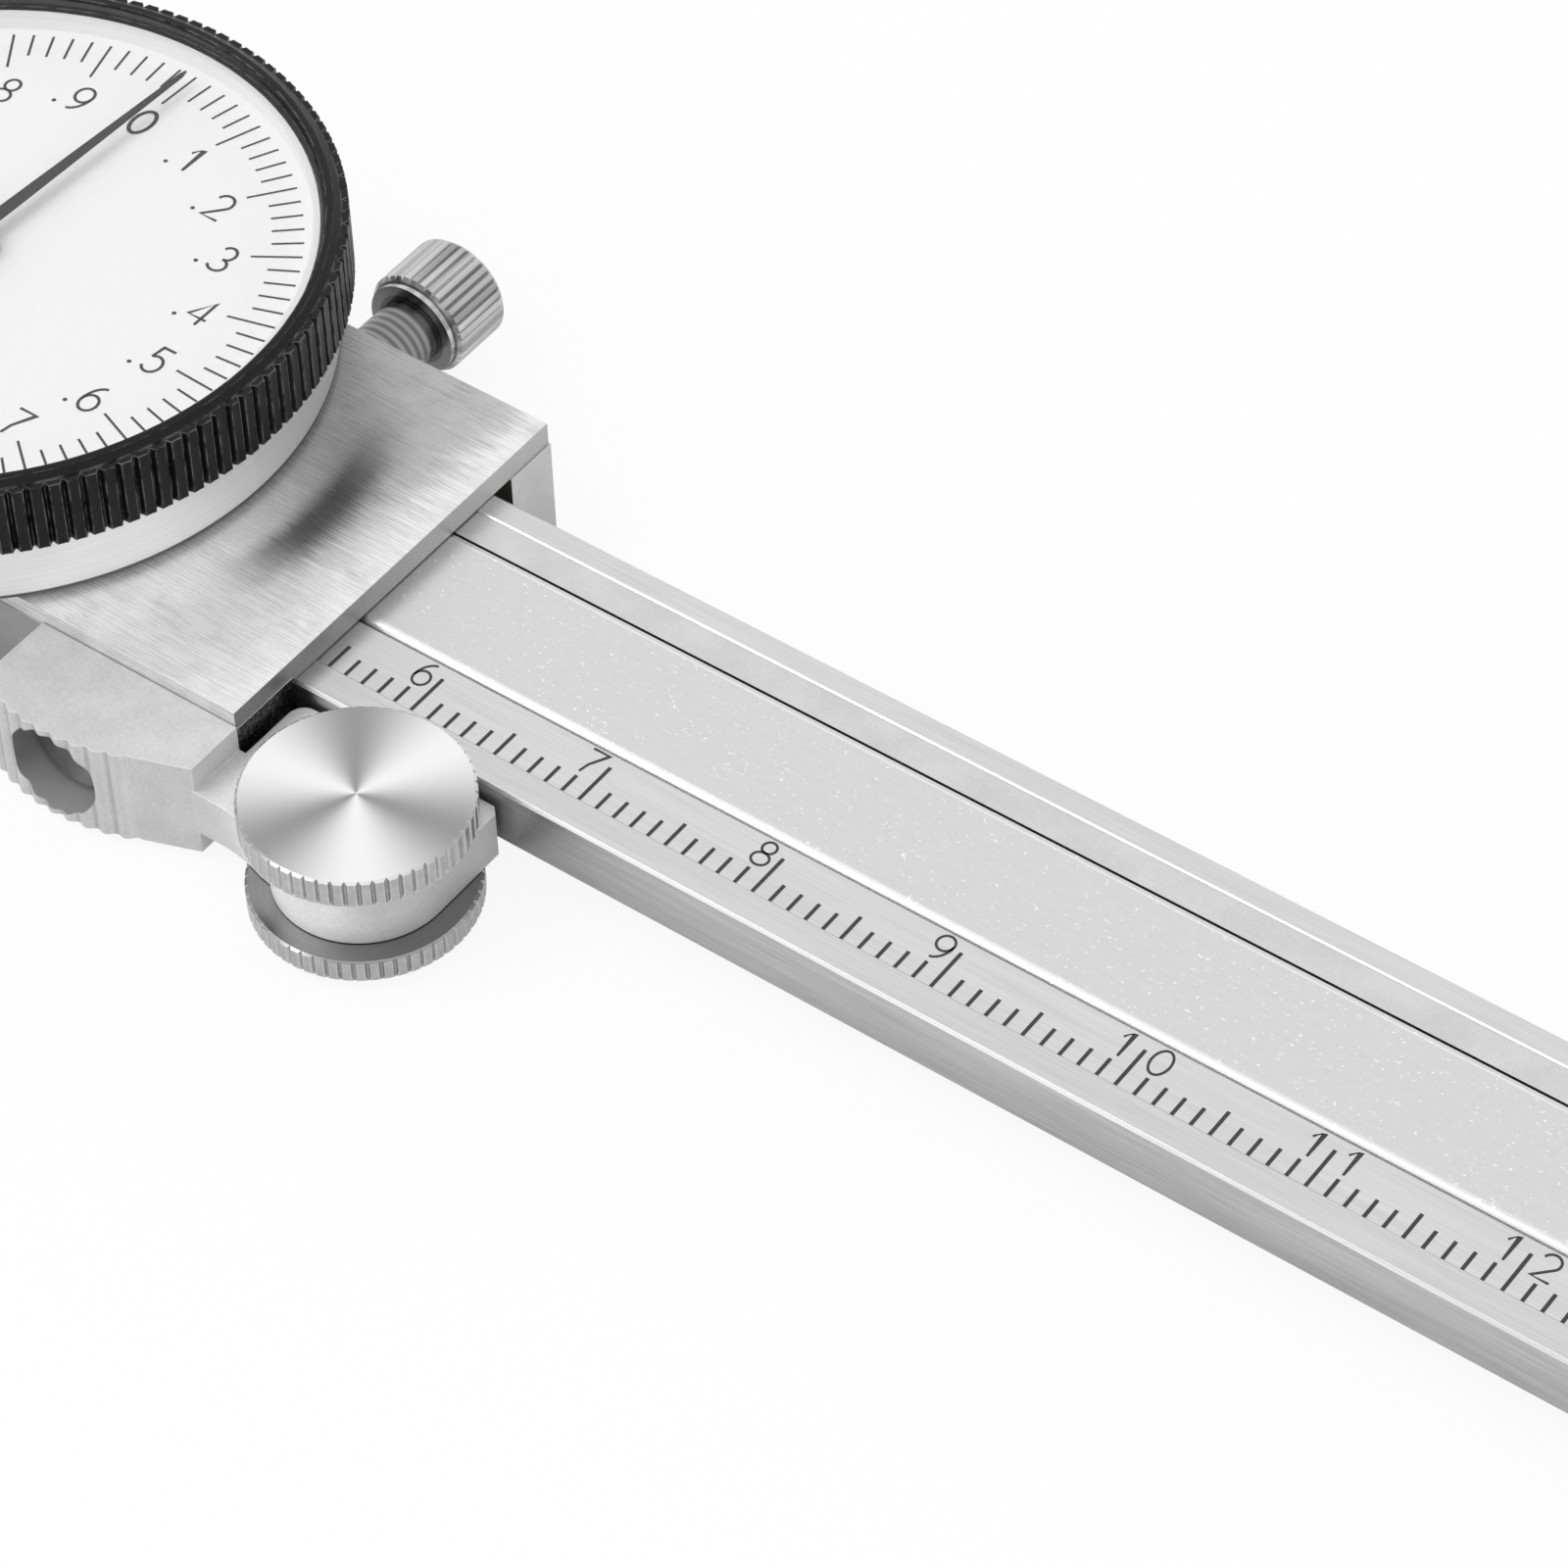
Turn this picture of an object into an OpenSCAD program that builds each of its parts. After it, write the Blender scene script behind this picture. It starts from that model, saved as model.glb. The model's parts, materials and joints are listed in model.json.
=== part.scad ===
// Dial caliper, 0 to 150 mm, closed and reading zero, lying on its back.
// X runs along the beam with the scale, Y across it towards the inside jaws, Z up out of the dial.
// Zero: the scale's 0 line, the beam's centre line and the slider's back face.
// All sizes are millimetres.

/* [Scale and beam] */
// Measuring range, the length of the scale
scale_len = 150; // [100:50:200]
// Beam beyond the scale's last line
beam_tail = 70; // [66:1:90]
// Width of the beam
beam_w = 15.5; // [15:0.1:18]
// Thickness of the beam
beam_t = 3.5; // [3.3:0.1:4.5]
// Width of the ground lip below the scale
lip_lower = 1.7; // [1.4:0.05:2]
// Width of the strip that carries the scale
scale_w = 3.2; // [2.8:0.05:3.6]
// Width of the ground lip above the rack
lip_upper = 1.45; // [1.2:0.05:1.8]
// Depth of the scale and rack strips below the lips
strip_recess = 0.06; // [0.02:0.01:0.12]
// Width of the slope from the upper lip down to the rack strip
lip_slope = 0.1; // [0.05:0.05:0.2]
// Depth of the channel for the depth rod and the rack
channel_depth = 1.8; // [1.6:0.05:2.1]
// Chamfer on the beam's long edges
beam_edge = 0.15; // [0.05:0.05:0.3]
// Width of the rack
rack_w = 1.75; // [1.6:0.05:1.9]
// Thickness of the rack's plain top above its teeth
rack_cap = 0.4; // [0.3:0.05:0.6]
// Gap beside the depth rod, towards the scale
rod_gap_lower = 0.2; // [0.1:0.05:0.35]
// Gap beside the depth rod, towards the rack
rod_gap_upper = 0.13; // [0.08:0.01:0.3]
// Depth of the faint bevel on the depth rod's far edge
rod_bevel = 0.05; // [0.03:0.01:0.1]
// Rounding of the depth rod's near edge
rod_edge = 0.6; // [0.4:0.05:0.8]

/* [Head and jaws] */
// Where the jaws meet, left of the scale's zero
jaw_plane = 3; // [1:0.5:6]
// Width of the fixed head
head_w = 15; // [12:0.5:18]
// Reach of the outside jaws below the beam
outside_reach = 40; // [32:1:50]
// Width of an outside jaw's tip
outside_tip = 3.4; // [2.6:0.2:4.4]
// Length of the thin bevelled stretch of the outside jaws
outside_knife = 15; // [8:1:20]
// Flat land left on a bevelled outside jaw
outside_land = 1.2; // [0.8:0.1:2]
// Reach of the inside jaws above the beam
inside_reach = 16; // [12:1:20]
// Width of an inside jaw at its root
inside_root = 5.5; // [4.5:0.5:7]
// Width of an inside jaw at its tip
inside_tip = 1.3; // [1:0.1:2]
// Height of the root that joins an inside jaw to its carrier
inside_shoulder = 5.8; // [5:0.2:7]

/* [Slider] */
// Length of the slider from the scale's zero
slider_len = 54.4; // [51.8:0.2:61.8]
// Width of the slider
slider_w = 24.1; // [23.5:0.1:27]
// Thickness of the slider's floor
floor_t = 2.2; // [2:0.1:3]
// Thickness of the cover plate
plate_t = 1.35; // [1.2:0.05:1.8]
// Distance of the cover plate's right edge from the slider's end
plate_setback = 0.1; // [0.05:0.05:0.8]
// Depth of the rebate under the cover plate's front margin
plate_rebate = 0.35; // [0.2:0.05:0.5]
// Bevel of the cover plate's reading edge
index_bevel = 0.8; // [0.4:0.1:1.1]
// Running clearance of the slider on the beam, each side
run = 0.05; // [0.03:0.01:0.08]
// Width of the slot for the gib
gib_slot = 1.15; // [1:0.05:1.4]
// Clearance between the gib and the slider's wall
gib_back = 0.06; // [0.04:0.01:0.1]
// Distance of the gib from the slider's right end
gib_setback = 2; // [1:0.5:4]

/* [Thumb block] */
// Left side of the thumb block, from the slider's right end
block_len = 12.05; // [10.8:0.25:13.8]
// Height of the thumb block's back above the slider's back
block_rise = 0.6; // [0.4:0.05:0.8]
// Height of the thumb block
block_h = 5.72; // [5.6:0.02:6.4]
// Reach of the thumb block's crown beyond the slider
block_reach = 5.5; // [5:0.1:6.5]
// Radius of the thumb block's crown
block_crown = 11; // [9:0.5:14]
// Crown's centre, from the block's left side
crown_place = 4.5; // [4.1:0.1:5.5]
// Reach of the thumb block at its right corner
block_corner = 3.35; // [3:0.05:3.8]
// Length of the plain slope beside the serrations
block_slope = 2.8; // [2.3:0.25:3.8]
// Pitch of the thumb serrations
flute_pitch = 1; // [0.8:0.05:1.3]
// Depth of the thumb serrations
flute_depth = 0.2; // [0.1:0.02:0.3]
// Radius of the counterbore for the block's screw
block_bore = 2.5; // [2.3:0.1:2.7]
// Height of the block's screw above the block's back
block_bore_z = 2.85; // [2.8:0.05:3]
// Reach of the counterbore's floor beyond the slider
block_bore_floor = 2.4; // [2:0.1:2.8]

/* [Arm and thumb roller] */
// Distance of the roller's axis beyond the slider's right end
roller_x = 8; // [7.6:0.1:9.2]
// Distance of the roller's axis from the beam's side
roller_off = 5.12; // [5:0.02:5.3]
// Radius of the roller's discs over the flutes
roller_r = 5.65; // [5.5:0.05:5.8]
// Thickness of the roller's top disc
roller_top_t = 1.64; // [1.2:0.02:2]
// Number of flutes on each disc
roller_flutes = 54; // [40:1:64]
// Depth of the flutes
roller_flute_depth = 0.16; // [0.08:0.02:0.2]
// Radius of the roller's shaft
shaft_r = 1.5; // [1.2:0.1:2]
// Radius of the arm's round front
arm_r = 4.45; // [4.2:0.05:4.7]
// Thickness of the arm
arm_t = 2.78; // [2.4:0.02:2.9]
// Top of the arm below the beam's face
arm_drop = 0.95; // [0.8:0.05:1.2]
// Gap between the arm and the beam's side
arm_gap = 0.25; // [0.15:0.05:0.4]
// Radius of the concave blend between the block and the arm
arm_blend = 8; // [6:0.5:10]
// Clearance between a disc and the beam
disc_gap = 0.06; // [0.04:0.01:0.1]

/* [Lock screw] */
// Place of the lock screw, from the slider's right end
lock_x = 12.5; // [11.3:0.1:12.9]
// Radius of the lock screw's knob
knob_r = 2.9; // [2.4:0.1:2.9]
// Height of the knob's underside above the slider's back
knob_rise = 0.65; // [0.45:0.05:0.7]
// Length of the knob
knob_len = 4.25; // [3:0.25:6]
// Distance of the knob from the slider's wall
knob_off = 4.4; // [3:0.2:6]
// Number of flutes on the knob
knob_flutes = 36; // [24:2:48]
// Radius of the lock screw's neck
neck_r = 1.25; // [1:0.05:1.4]

/* [Dial case] */
// Place of the dial's axis along the slider
dial_x = 28.1; // [27.5:0.1:29]
// Radius of the case
case_r = 17.8; // [17.6:0.1:18.4]
// Height of the case above the cover plate
case_h = 4.1; // [4:0.1:5]
// Thickness of the case's wall
case_wall = 1.1; // [0.9:0.1:1.4]
// Thickness of the case's bottom
case_floor = 0.8; // [0.6:0.1:1]
// Height of the collar that carries the bezel
collar_h = 1.8; // [1.7:0.05:1.9]
// Distance of the case's screws from its wall
case_screw_in = 5.2; // [4.6:0.1:5.8]
// Reach of the bezel beyond the case
bezel_over = 1; // [0.9:0.05:1.6]
// Height of the bezel's ribbed side
bezel_h = 3.85; // [3.75:0.05:4.2]
// Number of ribs round the bezel
bezel_ribs = 132; // [100:4:160]
// Depth of the ribs
rib_depth = 0.3; // [0.15:0.05:0.4]
// Rise of the rim above the ribbed side
rim_rise = 0.35; // [0.2:0.05:0.5]
// Width of the rim
rim_w = 1.1; // [1:0.05:1.25]
// Thickness of the crystal
crystal_t = 0.75; // [0.6:0.05:0.9]
// Rise of the crystal's dome
crystal_rise = 0.7; // [0.5:0.05:1]
// Thickness of the dial face
face_t = 0.4; // [0.3:0.05:0.5]
// Height of the dial face's top above the bezel's foot
face_rise = 2.55; // [2.4:0.05:2.65]
// Width of the ring between the face and the crystal
face_ring_w = 0.35; // [0.25:0.05:0.5]

/* [Pointer] */
// Gap between the pointer's tip and the rim
pointer_gap = 1.8; // [1.5:0.1:3]
// Length of the pointer's tail
pointer_tail = 5; // [4:0.1:6.5]
// Radius of the pointer's hub
pointer_hub = 1.25; // [1:0.05:1.5]
// Thickness of the pointer
pointer_t = 0.15; // [0.1:0.01:0.2]
// Height of the pointer above the dial face
pointer_rise = 0.75; // [0.6:0.05:0.8]
// Width of the pointer beside its hub
pointer_w = 0.75; // [0.5:0.05:1]
// Width of the pointer at its tip
pointer_tip = 0.22; // [0.15:0.01:0.4]
// Turn of the dial's zero from straight across the beam, in degrees
dial_turn = -2.6; // [-10:0.1:10]

/* [Gear train] */
// Pitch of the rack's teeth; 16 of them are one turn of the pinion
rack_pitch = 0.625; // [0.6:0.005:0.65]
// Teeth on the rack pinion
pinion_teeth = 16; // [14:1:18]
// Module of the dial gears
gear_module = 0.14; // [0.13:0.005:0.145]
// Teeth on the main gear
main_teeth = 100; // [90:10:100]
// Teeth on the pointer's pinion
centre_teeth = 20; // [18:2:20]
// Thickness of the main gear
gear_t = 0.45; // [0.35:0.05:0.6]
// Thickness of the scissor gear that takes up the backlash
scissor_t = 0.3; // [0.2:0.05:0.4]
// Share of the pitch that a tooth fills, the rest being backlash
tooth_fill = 0.82; // [0.7:0.02:0.86]
// Radius of the arbors
arbor_r = 0.6; // [0.5:0.05:0.7]
// Height of the main gear above the case's floor
gear_rise = 0.8; // [0.7:0.05:0.9]
// Height of the bridge above the case's floor
bridge_rise = 2.9; // [2.7:0.05:3.1]
// Thickness of the bridge
bridge_t = 0.7; // [0.5:0.05:0.9]
// Half width of the bridge's arms
bridge_w = 2; // [1.8:0.05:2.2]
// Radius of the bridge's posts
post_r = 1.1; // [0.9:0.05:1.3]
// Distance of the posts from the case's wall
post_in = 4.7; // [4.2:0.1:5.2]
// Radius of the screws in the posts
post_screw_r = 0.5; // [0.4:0.05:0.6]

/* [End plate] */
// Length of the end plate along the beam
end_len = 5.5; // [4.5:0.25:7]
// Distance of the end plate from the beam's end
end_off = 1.8; // [1:0.2:3]
// Distance of the end plate's long sides from the beam's edges
end_margin = 0.5; // [0.5:0.05:0.9]
// Thickness of the end plate
end_t = 0.8; // [0.6:0.1:1.2]
// Corner radius of the end plate
end_corner = 1.2; // [0.8:0.1:1.6]
// Distance between the end plate's screws
end_pitch = 11.2; // [11:0.1:11.4]

/* [Hidden] */
$fn = 64;
eps = 0.01;
fit = 0.02;

satin = [0.78, 0.78, 0.77];
bright = [0.88, 0.88, 0.87];
brushed = [0.72, 0.72, 0.71];
black = [0.08, 0.08, 0.085];
white = [0.96, 0.96, 0.95];
brass = [0.80, 0.66, 0.36];
clear = [0.9, 0.95, 1, 0.3];

// Heights
beam_z = floor_t + run;
face_z = beam_z + beam_t;
plate_z = face_z + run;
plate_top = plate_z + plate_t;
end_screw_z = face_z + end_t - 0.1;
channel_z = face_z - channel_depth;
strip_z = face_z - strip_recess;
mid_z = beam_z + beam_t / 2;

// Places across the beam
y_lo = -beam_w / 2;
y_hi = beam_w / 2;
y_scale = y_lo + lip_lower;
y_channel = y_scale + scale_w;
y_rack_back = y_hi - lip_upper;
y_rack = y_rack_back - rack_w;
rod_y0 = y_channel + rod_gap_lower;
rod_y1 = y_rack - rod_gap_upper;
rod_top = face_z - 0.04;
rod_bottom = channel_z + run;

// Places along the beam
x_jaw = -jaw_plane;
x_head = x_jaw - head_w;
x_end = scale_len + beam_tail;
channel_start = 2;
end_x1 = x_end - end_off;
end_x0 = end_x1 - end_len;
end_screw_x = (end_x0 + end_x1) / 2;
end_screw_r = 0.45;
end_screw_len = 3;
rod_root = slider_len - 9.5;

// Slider
half_w = slider_w / 2;
plate_half = half_w - 0.05;
plate_end = slider_len - plate_setback;
wall_y = y_hi + gib_slot;
gib_y0 = y_hi + run;
gib_y1 = wall_y - gib_back;
gib_x0 = x_jaw + inside_root + 1.1;
cover_screw_r = 0.8;
cover_screw_len = 3.6;
cover_screw_y = (wall_y + half_w) / 2;
cover_screw_dx = 11;
gib_screw_r = 1;
gib_screw_x = [9, dial_x + 0.9];
lock_cx = slider_len - lock_x;
lock_z = knob_r + knob_rise;
pad_len = 0.8;
pin_x = [rod_root + 2.6, rod_root + 6.4];
pin_r = 0.8;

// Jaws: the inside jaws cross, so each has half of the beam's thickness
split_gap = run;
fixed_top = mid_z - split_gap / 2;
moving_bottom = mid_z + split_gap / 2;
out_tip_y = y_lo - outside_reach;
in_tip_y = y_hi + inside_reach;
shoulder_y = y_hi + inside_shoulder;

// Thumb block
block_x = slider_len - block_len;
block_y = -half_w;
crown_x = block_x + crown_place;
crown_y = block_y - block_reach + block_crown;
slope_x = slider_len - block_slope;
block_bore_x = crown_x + 0.2;
block_bore_y = block_y - block_bore_floor;
bore_z = block_rise + block_bore_z;
block_screw_r = 1;
block_head_h = 1.2;

// Arm and roller
rx = slider_len + roller_x;
ry = y_lo - roller_off;
arm_top = face_z - arm_drop;
arm_bottom = arm_top - arm_t;
arm_back = y_lo - arm_gap;
arm_left = slider_len + 0.4;
arm_corner = 0.9;
arm_right = rx + arm_r;
arm_front = block_y - block_corner;
blend_dx = sqrt(pow(arm_blend + arm_r, 2) - pow(arm_blend + ry - arm_front, 2));
blend_x = rx - blend_dx;
blend_y = arm_front - arm_blend;
blend_a = atan2(ry - blend_y, rx - blend_x);
disc_bottom = face_z + disc_gap;
disc_top = disc_bottom + roller_top_t;
disc_low_top = min(arm_bottom, beam_z) - disc_gap;
disc_low = block_rise + 0.05;
roller_screw_r = 0.6;
roller_screw_len = 3;

// Dial case
case_z = plate_top;
case_top = case_z + case_h;
case_in = case_r - case_wall;
case_floor_z = case_z + case_floor;
collar_r = case_in + 0.55;
collar_in = case_in - 0.3;
collar_top = case_top + collar_h;
bezel_r = case_r + bezel_over;
rim_r = bezel_r - rim_w;
bezel_z = case_top + run;
bezel_top = bezel_z + bezel_h;
rim_z = bezel_top + rim_rise;
rim_foot = bezel_r - rib_depth - 0.07;
bezel_in = collar_r + run;
face_r = bezel_in + 0.05;
face_top = bezel_z + face_rise;
face_z0 = face_top - face_t;
face_hole = 1.6;
crystal_r = rim_r - 0.05;
crystal_z = bezel_top - 0.4;
ledge_in = collar_in;
snap_t = 0.4;
snap_depth = 0.35;
snap_z = case_top + 0.7;
snap_gap = 10;
case_screw_c = case_in - case_screw_in;
case_screw_at = [for (a = [0, 125, 245]) [dial_x + case_screw_c * cos(a), case_screw_c * sin(a)]];
case_screw_len = 1.5;
case_screw_r = 0.7;

// Gear train
rack_module = rack_pitch / PI;
pinion_pr = pinion_teeth * rack_module / 2;
addendum = 0.9;
dedendum = 1.2;
rack_angle = 20;
rack_pitch_y = y_rack + addendum * rack_module;
pinion_y = rack_pitch_y - pinion_pr;
main_pr = main_teeth * gear_module / 2;
centre_pr = centre_teeth * gear_module / 2;
train_dist = main_pr + centre_pr;
pinion_x = dial_x - sqrt(pow(train_dist, 2) - pow(pinion_y, 2));
mesh_a = atan2(-pinion_y, dial_x - pinion_x);
centre_a = mesh_a + 180 + 180 / centre_teeth;
gear_z = case_floor_z + gear_rise;
bridge_z = case_floor_z + bridge_rise;
post_c = case_in - post_in;
post_at = [for (a = [80, 212, 335]) [dial_x + post_c * cos(a), post_c * sin(a)]];
post_screw_head = post_screw_r + 0.45;
pinion_bottom = channel_z + 0.15;
pinion_top = strip_z - rack_cap - run;
bush_r = 1.4;
pivot_r = arbor_r - 0.2;
scissor_z = gear_z + gear_t + 0.02;
spring_z = scissor_z + scissor_t + 0.05;
spring_h = 0.3;
spring_w = 0.12;
spring_turns = 3;
spring_r = 2.6;
spring_a = 36;
pin_spring_r = 0.25;
rack_first = ceil((6 - pinion_x) / rack_pitch);
rack_last = floor((scale_len + 6) / rack_pitch);
rack_x0 = channel_start + 1;
pointer_z = face_top + pointer_rise;
pointer_len = rim_r - pointer_gap;

// Points of an arc, from angle a0 to a1
function arc(cx, cy, r, a0, a1, n = 16) =
    [for (i = [0:n]) let (a = a0 + (a1 - a0) * i / n) [cx + r * cos(a), cy + r * sin(a)]];

// Points of a curve from p0 to p3, drawn by the two handles p1 and p2
function curve(p0, p1, p2, p3, n = 14) =
    [for (i = [0:n]) let (t = i / n, s = 1 - t)
        s * s * s * p0 + 3 * s * s * t * p1 + 3 * s * t * t * p2 + t * t * t * p3];

// Outline of a gear: each tooth has its root, pitch line and tip
function gear_outline(teeth, m) =
    let (rp = teeth * m / 2, step = 360 / teeth, half = step / 4 * tooth_fill, w = rp * half * PI / 180)
    let (rr = rp - dedendum * m, ra = rp + addendum * m)
    [for (i = [0:teeth - 1]) let (c = i * step)
        for (q = [[rr, -1.45], [rp, -1], [ra, -0.42], [ra, 0.42], [rp, 1], [rr, 1.45]])
            let (a = c + q[1] * w / q[0] * 180 / PI)
            [q[0] * cos(a), q[0] * sin(a)]];

// Outline of a round knob with ribs: plain crests with a rounded valley between them
function ribbed(r, n, depth) =
    [for (i = [0:n - 1]) let (c = i * 360 / n, s = 360 / n)
        for (q = [[-0.3, 0], [-0.1, 0.06], [0.1, 0.06], [0.3, 0], [0.5, 1]])
            let (a = c + q[0] * s, d = q[1] * depth)
            [(r - d) * cos(a), (r - d) * sin(a)]];

// Extrudes a profile of the beam's cross-section, given as [y, z], from x0 to x1
module along_x(x0, x1) {
    translate([x0, 0, 0])
        rotate([90, 0, 90])
            linear_extrude(x1 - x0) children();
}

// Extrudes a plan outline from z0 to z1
module plan(z0, z1) {
    translate([0, 0, z0])
        linear_extrude(z1 - z0) children();
}

// Round bar or bore along Z
module bar_z(x, y, r, z0, z1) {
    translate([x, y, z0])
        cylinder(r = r, h = z1 - z0);
}

// Round bar or bore along Y
module bar_y(x, z, r, y0, y1) {
    translate([x, y1, z])
        rotate([90, 0, 0])
            cylinder(r = r, h = y1 - y0);
}

// Countersunk screw, head up, its top at z; the slot runs along angle a
module flat_screw(x, y, z, r, len, a) {
    difference() {
        translate([x, y, z])
            rotate_extrude()
                polygon([[0, -len], [r - 0.15, -len], [r, -len + 0.15], [r, -r * 0.9], [r * 1.8, -0.12], [r * 1.8, 0], [0, 0]]);
        translate([x, y, z])
            rotate([0, 0, a])
                translate([-r * 2, -r * 0.2, -r * 0.45])
                    cube([r * 4, r * 0.4, r]);
    }
}

// The hole that a flat_screw sits in
module flat_seat(x, y, z, r, len) {
    translate([x, y, z])
        rotate_extrude()
            polygon([[0, -len - 0.2], [r + fit, -len - 0.2], [r + fit, -r * 0.9], [r * 1.8 + fit, -0.12], [r * 1.8 + fit, 1], [0, 1]]);
}

// Back edge of an outside jaw, from its tip up to its root, to the side s of the jaw plane
function jaw_back(s, root, handle, y_root) =
    curve([x_jaw + s * outside_tip, out_tip_y + 0.8], [x_jaw + s * (outside_tip + 3), out_tip_y + 16],
        [x_jaw + s * handle[0], handle[1]], [x_jaw + s * root, y_root]);

// Outline of an inside jaw, with the body to the side s of its measuring edge
function fin(s, y0) =
    [[x_jaw, y0], [x_jaw + s * inside_root, y0], [x_jaw + s * inside_tip, in_tip_y - 0.5],
        [x_jaw + s * inside_tip * 0.6, in_tip_y], [x_jaw, in_tip_y]];

// Wedges that thin an outside jaw's measuring edge near its tip, on both faces
module knife_cuts(s) {
    land = outside_land / 2;
    deep = beam_t / 2 - land;
    for (f = [-1, 1])
        translate([x_jaw, out_tip_y - 1, mid_z])
            rotate([-90, 0, 0])
                linear_extrude(outside_knife + 1)
                    polygon([[-s, f * land], [0, f * land], [s * deep * 1.6, f * (beam_t / 2 + eps)], [s * deep * 1.6, f * beam_t], [-s, f * beam_t]]);
}

// Wedge that sharpens an inside jaw's measuring edge on the side s, on the face at z with the outside at f
module fin_cut(s, f, z) {
    translate([x_jaw, shoulder_y, z])
        rotate([-90, 0, 0])
            linear_extrude(inside_reach)
                polygon([[-s * eps * 4, f * 1.15], [s * 1.1, -f * eps], [s * 1.1, -f], [-s, -f], [-s, f * 1.15]]);
}

module beam_profile() {
    polygon([
        [y_lo, beam_z + beam_edge], [y_lo + beam_edge, beam_z],
        [y_hi - beam_edge, beam_z], [y_hi, beam_z + beam_edge],
        [y_hi, face_z - beam_edge], [y_hi - beam_edge, face_z],
        [y_rack_back + lip_slope, face_z], [y_rack_back, strip_z], [y_rack_back, channel_z],
        [y_channel, channel_z], [y_channel, strip_z],
        [y_scale, strip_z], [y_scale, face_z],
        [y_lo + beam_edge, face_z], [y_lo, face_z - beam_edge]]);
}

module beam() {
    color(satin)
        difference() {
            union() {
                along_x(channel_start, x_end) beam_profile();
                // plain stretch under the reading edge
                along_x(x_jaw - 1, channel_start)
                    polygon([[y_lo, beam_z], [y_hi, beam_z], [y_hi, face_z], [y_lo, face_z]]);
                // head and fixed outside jaw
                plan(beam_z, face_z)
                    polygon(concat([[x_jaw, y_hi], [x_jaw, out_tip_y], [x_jaw - outside_tip * 0.6, out_tip_y]],
                        jaw_back(-1, head_w, [head_w, y_lo - 19], y_lo - 4),
                        [[x_head, y_hi]]));
                // fixed inside jaw, in the back half, with its root on the head
                plan(beam_z, fixed_top) {
                    polygon(fin(1, y_hi - 0.5));
                    polygon(concat([[x_jaw + 0.5, y_hi - 0.5], [x_jaw + 0.5, shoulder_y - 0.5], [x_jaw, shoulder_y]],
                        curve([x_jaw - 1.2, shoulder_y], [x_jaw - 4, shoulder_y - 0.4], [x_jaw - 6, y_hi + 2.2], [x_head, y_hi]),
                        [[x_head, y_hi - 0.5]]));
                }
            }
            // relief at the root of the outside jaw
            bar_z(x_jaw, y_lo - 1.1, 0.9, beam_z - 1, face_z + 1);
            knife_cuts(-1);
            fin_cut(1, -1, beam_z);
            for (y = [-end_pitch / 2, end_pitch / 2])
                bar_z(end_screw_x, y, end_screw_r + fit, beam_z + 0.6, face_z + 1);
        }
}

// Rack: a bar set in the beam's channel, toothed under its plain top as far as the pinion travels
module rack_bar() {
    half = rack_pitch / 4 * tooth_fill;
    root = y_rack + (addendum + dedendum) * rack_module;
    tip = half - addendum * rack_module * tan(rack_angle);
    foot = half + dedendum * rack_module * tan(rack_angle);
    plain_x = pinion_x + (rack_last + 1) * rack_pitch;
    color(satin)
        difference() {
            union() {
                plan(strip_z - rack_cap, strip_z)
                    polygon([[rack_x0, y_rack], [x_end, y_rack], [x_end, y_rack_back - fit], [rack_x0, y_rack_back - fit]]);
                plan(channel_z, strip_z - rack_cap / 2)
                    polygon(concat(
                        [[rack_x0, y_rack_back - fit], [rack_x0, root]],
                        [for (k = [rack_first:rack_last]) let (c = pinion_x + (k + 0.5) * rack_pitch)
                            for (q = [[-foot, root], [-tip, y_rack], [tip, y_rack], [foot, root]]) [c + q[0], q[1]]],
                        [[plain_x, root], [plain_x, y_rack], [x_end, y_rack], [x_end, y_rack_back - fit]]));
            }
            bar_z(end_screw_x, end_pitch / 2, end_screw_r + fit, channel_z - 1, strip_z + 1);
        }
}

module end_plate() {
    half = beam_w / 2 - end_margin;
    color(bright)
        difference() {
            plan(face_z, face_z + end_t) {
                polygon(concat(
                    arc(end_x0 + end_corner, -half + end_corner, end_corner, 180, 270, 8),
                    arc(end_x1 - end_corner, -half + end_corner, end_corner, 270, 360, 8),
                    arc(end_x1 - end_corner, half - end_corner, end_corner, 0, 90, 8),
                    arc(end_x0 + end_corner, half - end_corner, end_corner, 90, 180, 8)));
            }
            for (y = [-end_pitch / 2, end_pitch / 2])
                flat_seat(end_screw_x, y, end_screw_z, end_screw_r, end_screw_len);
        }
}

module end_screw(y, a) {
    color(bright)
        flat_screw(end_screw_x, y, end_screw_z, end_screw_r, end_screw_len, a);
}

module end_screw_1() {
    end_screw(-end_pitch / 2, 25);
}

module end_screw_2() {
    end_screw(end_pitch / 2, 70);
}

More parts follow.
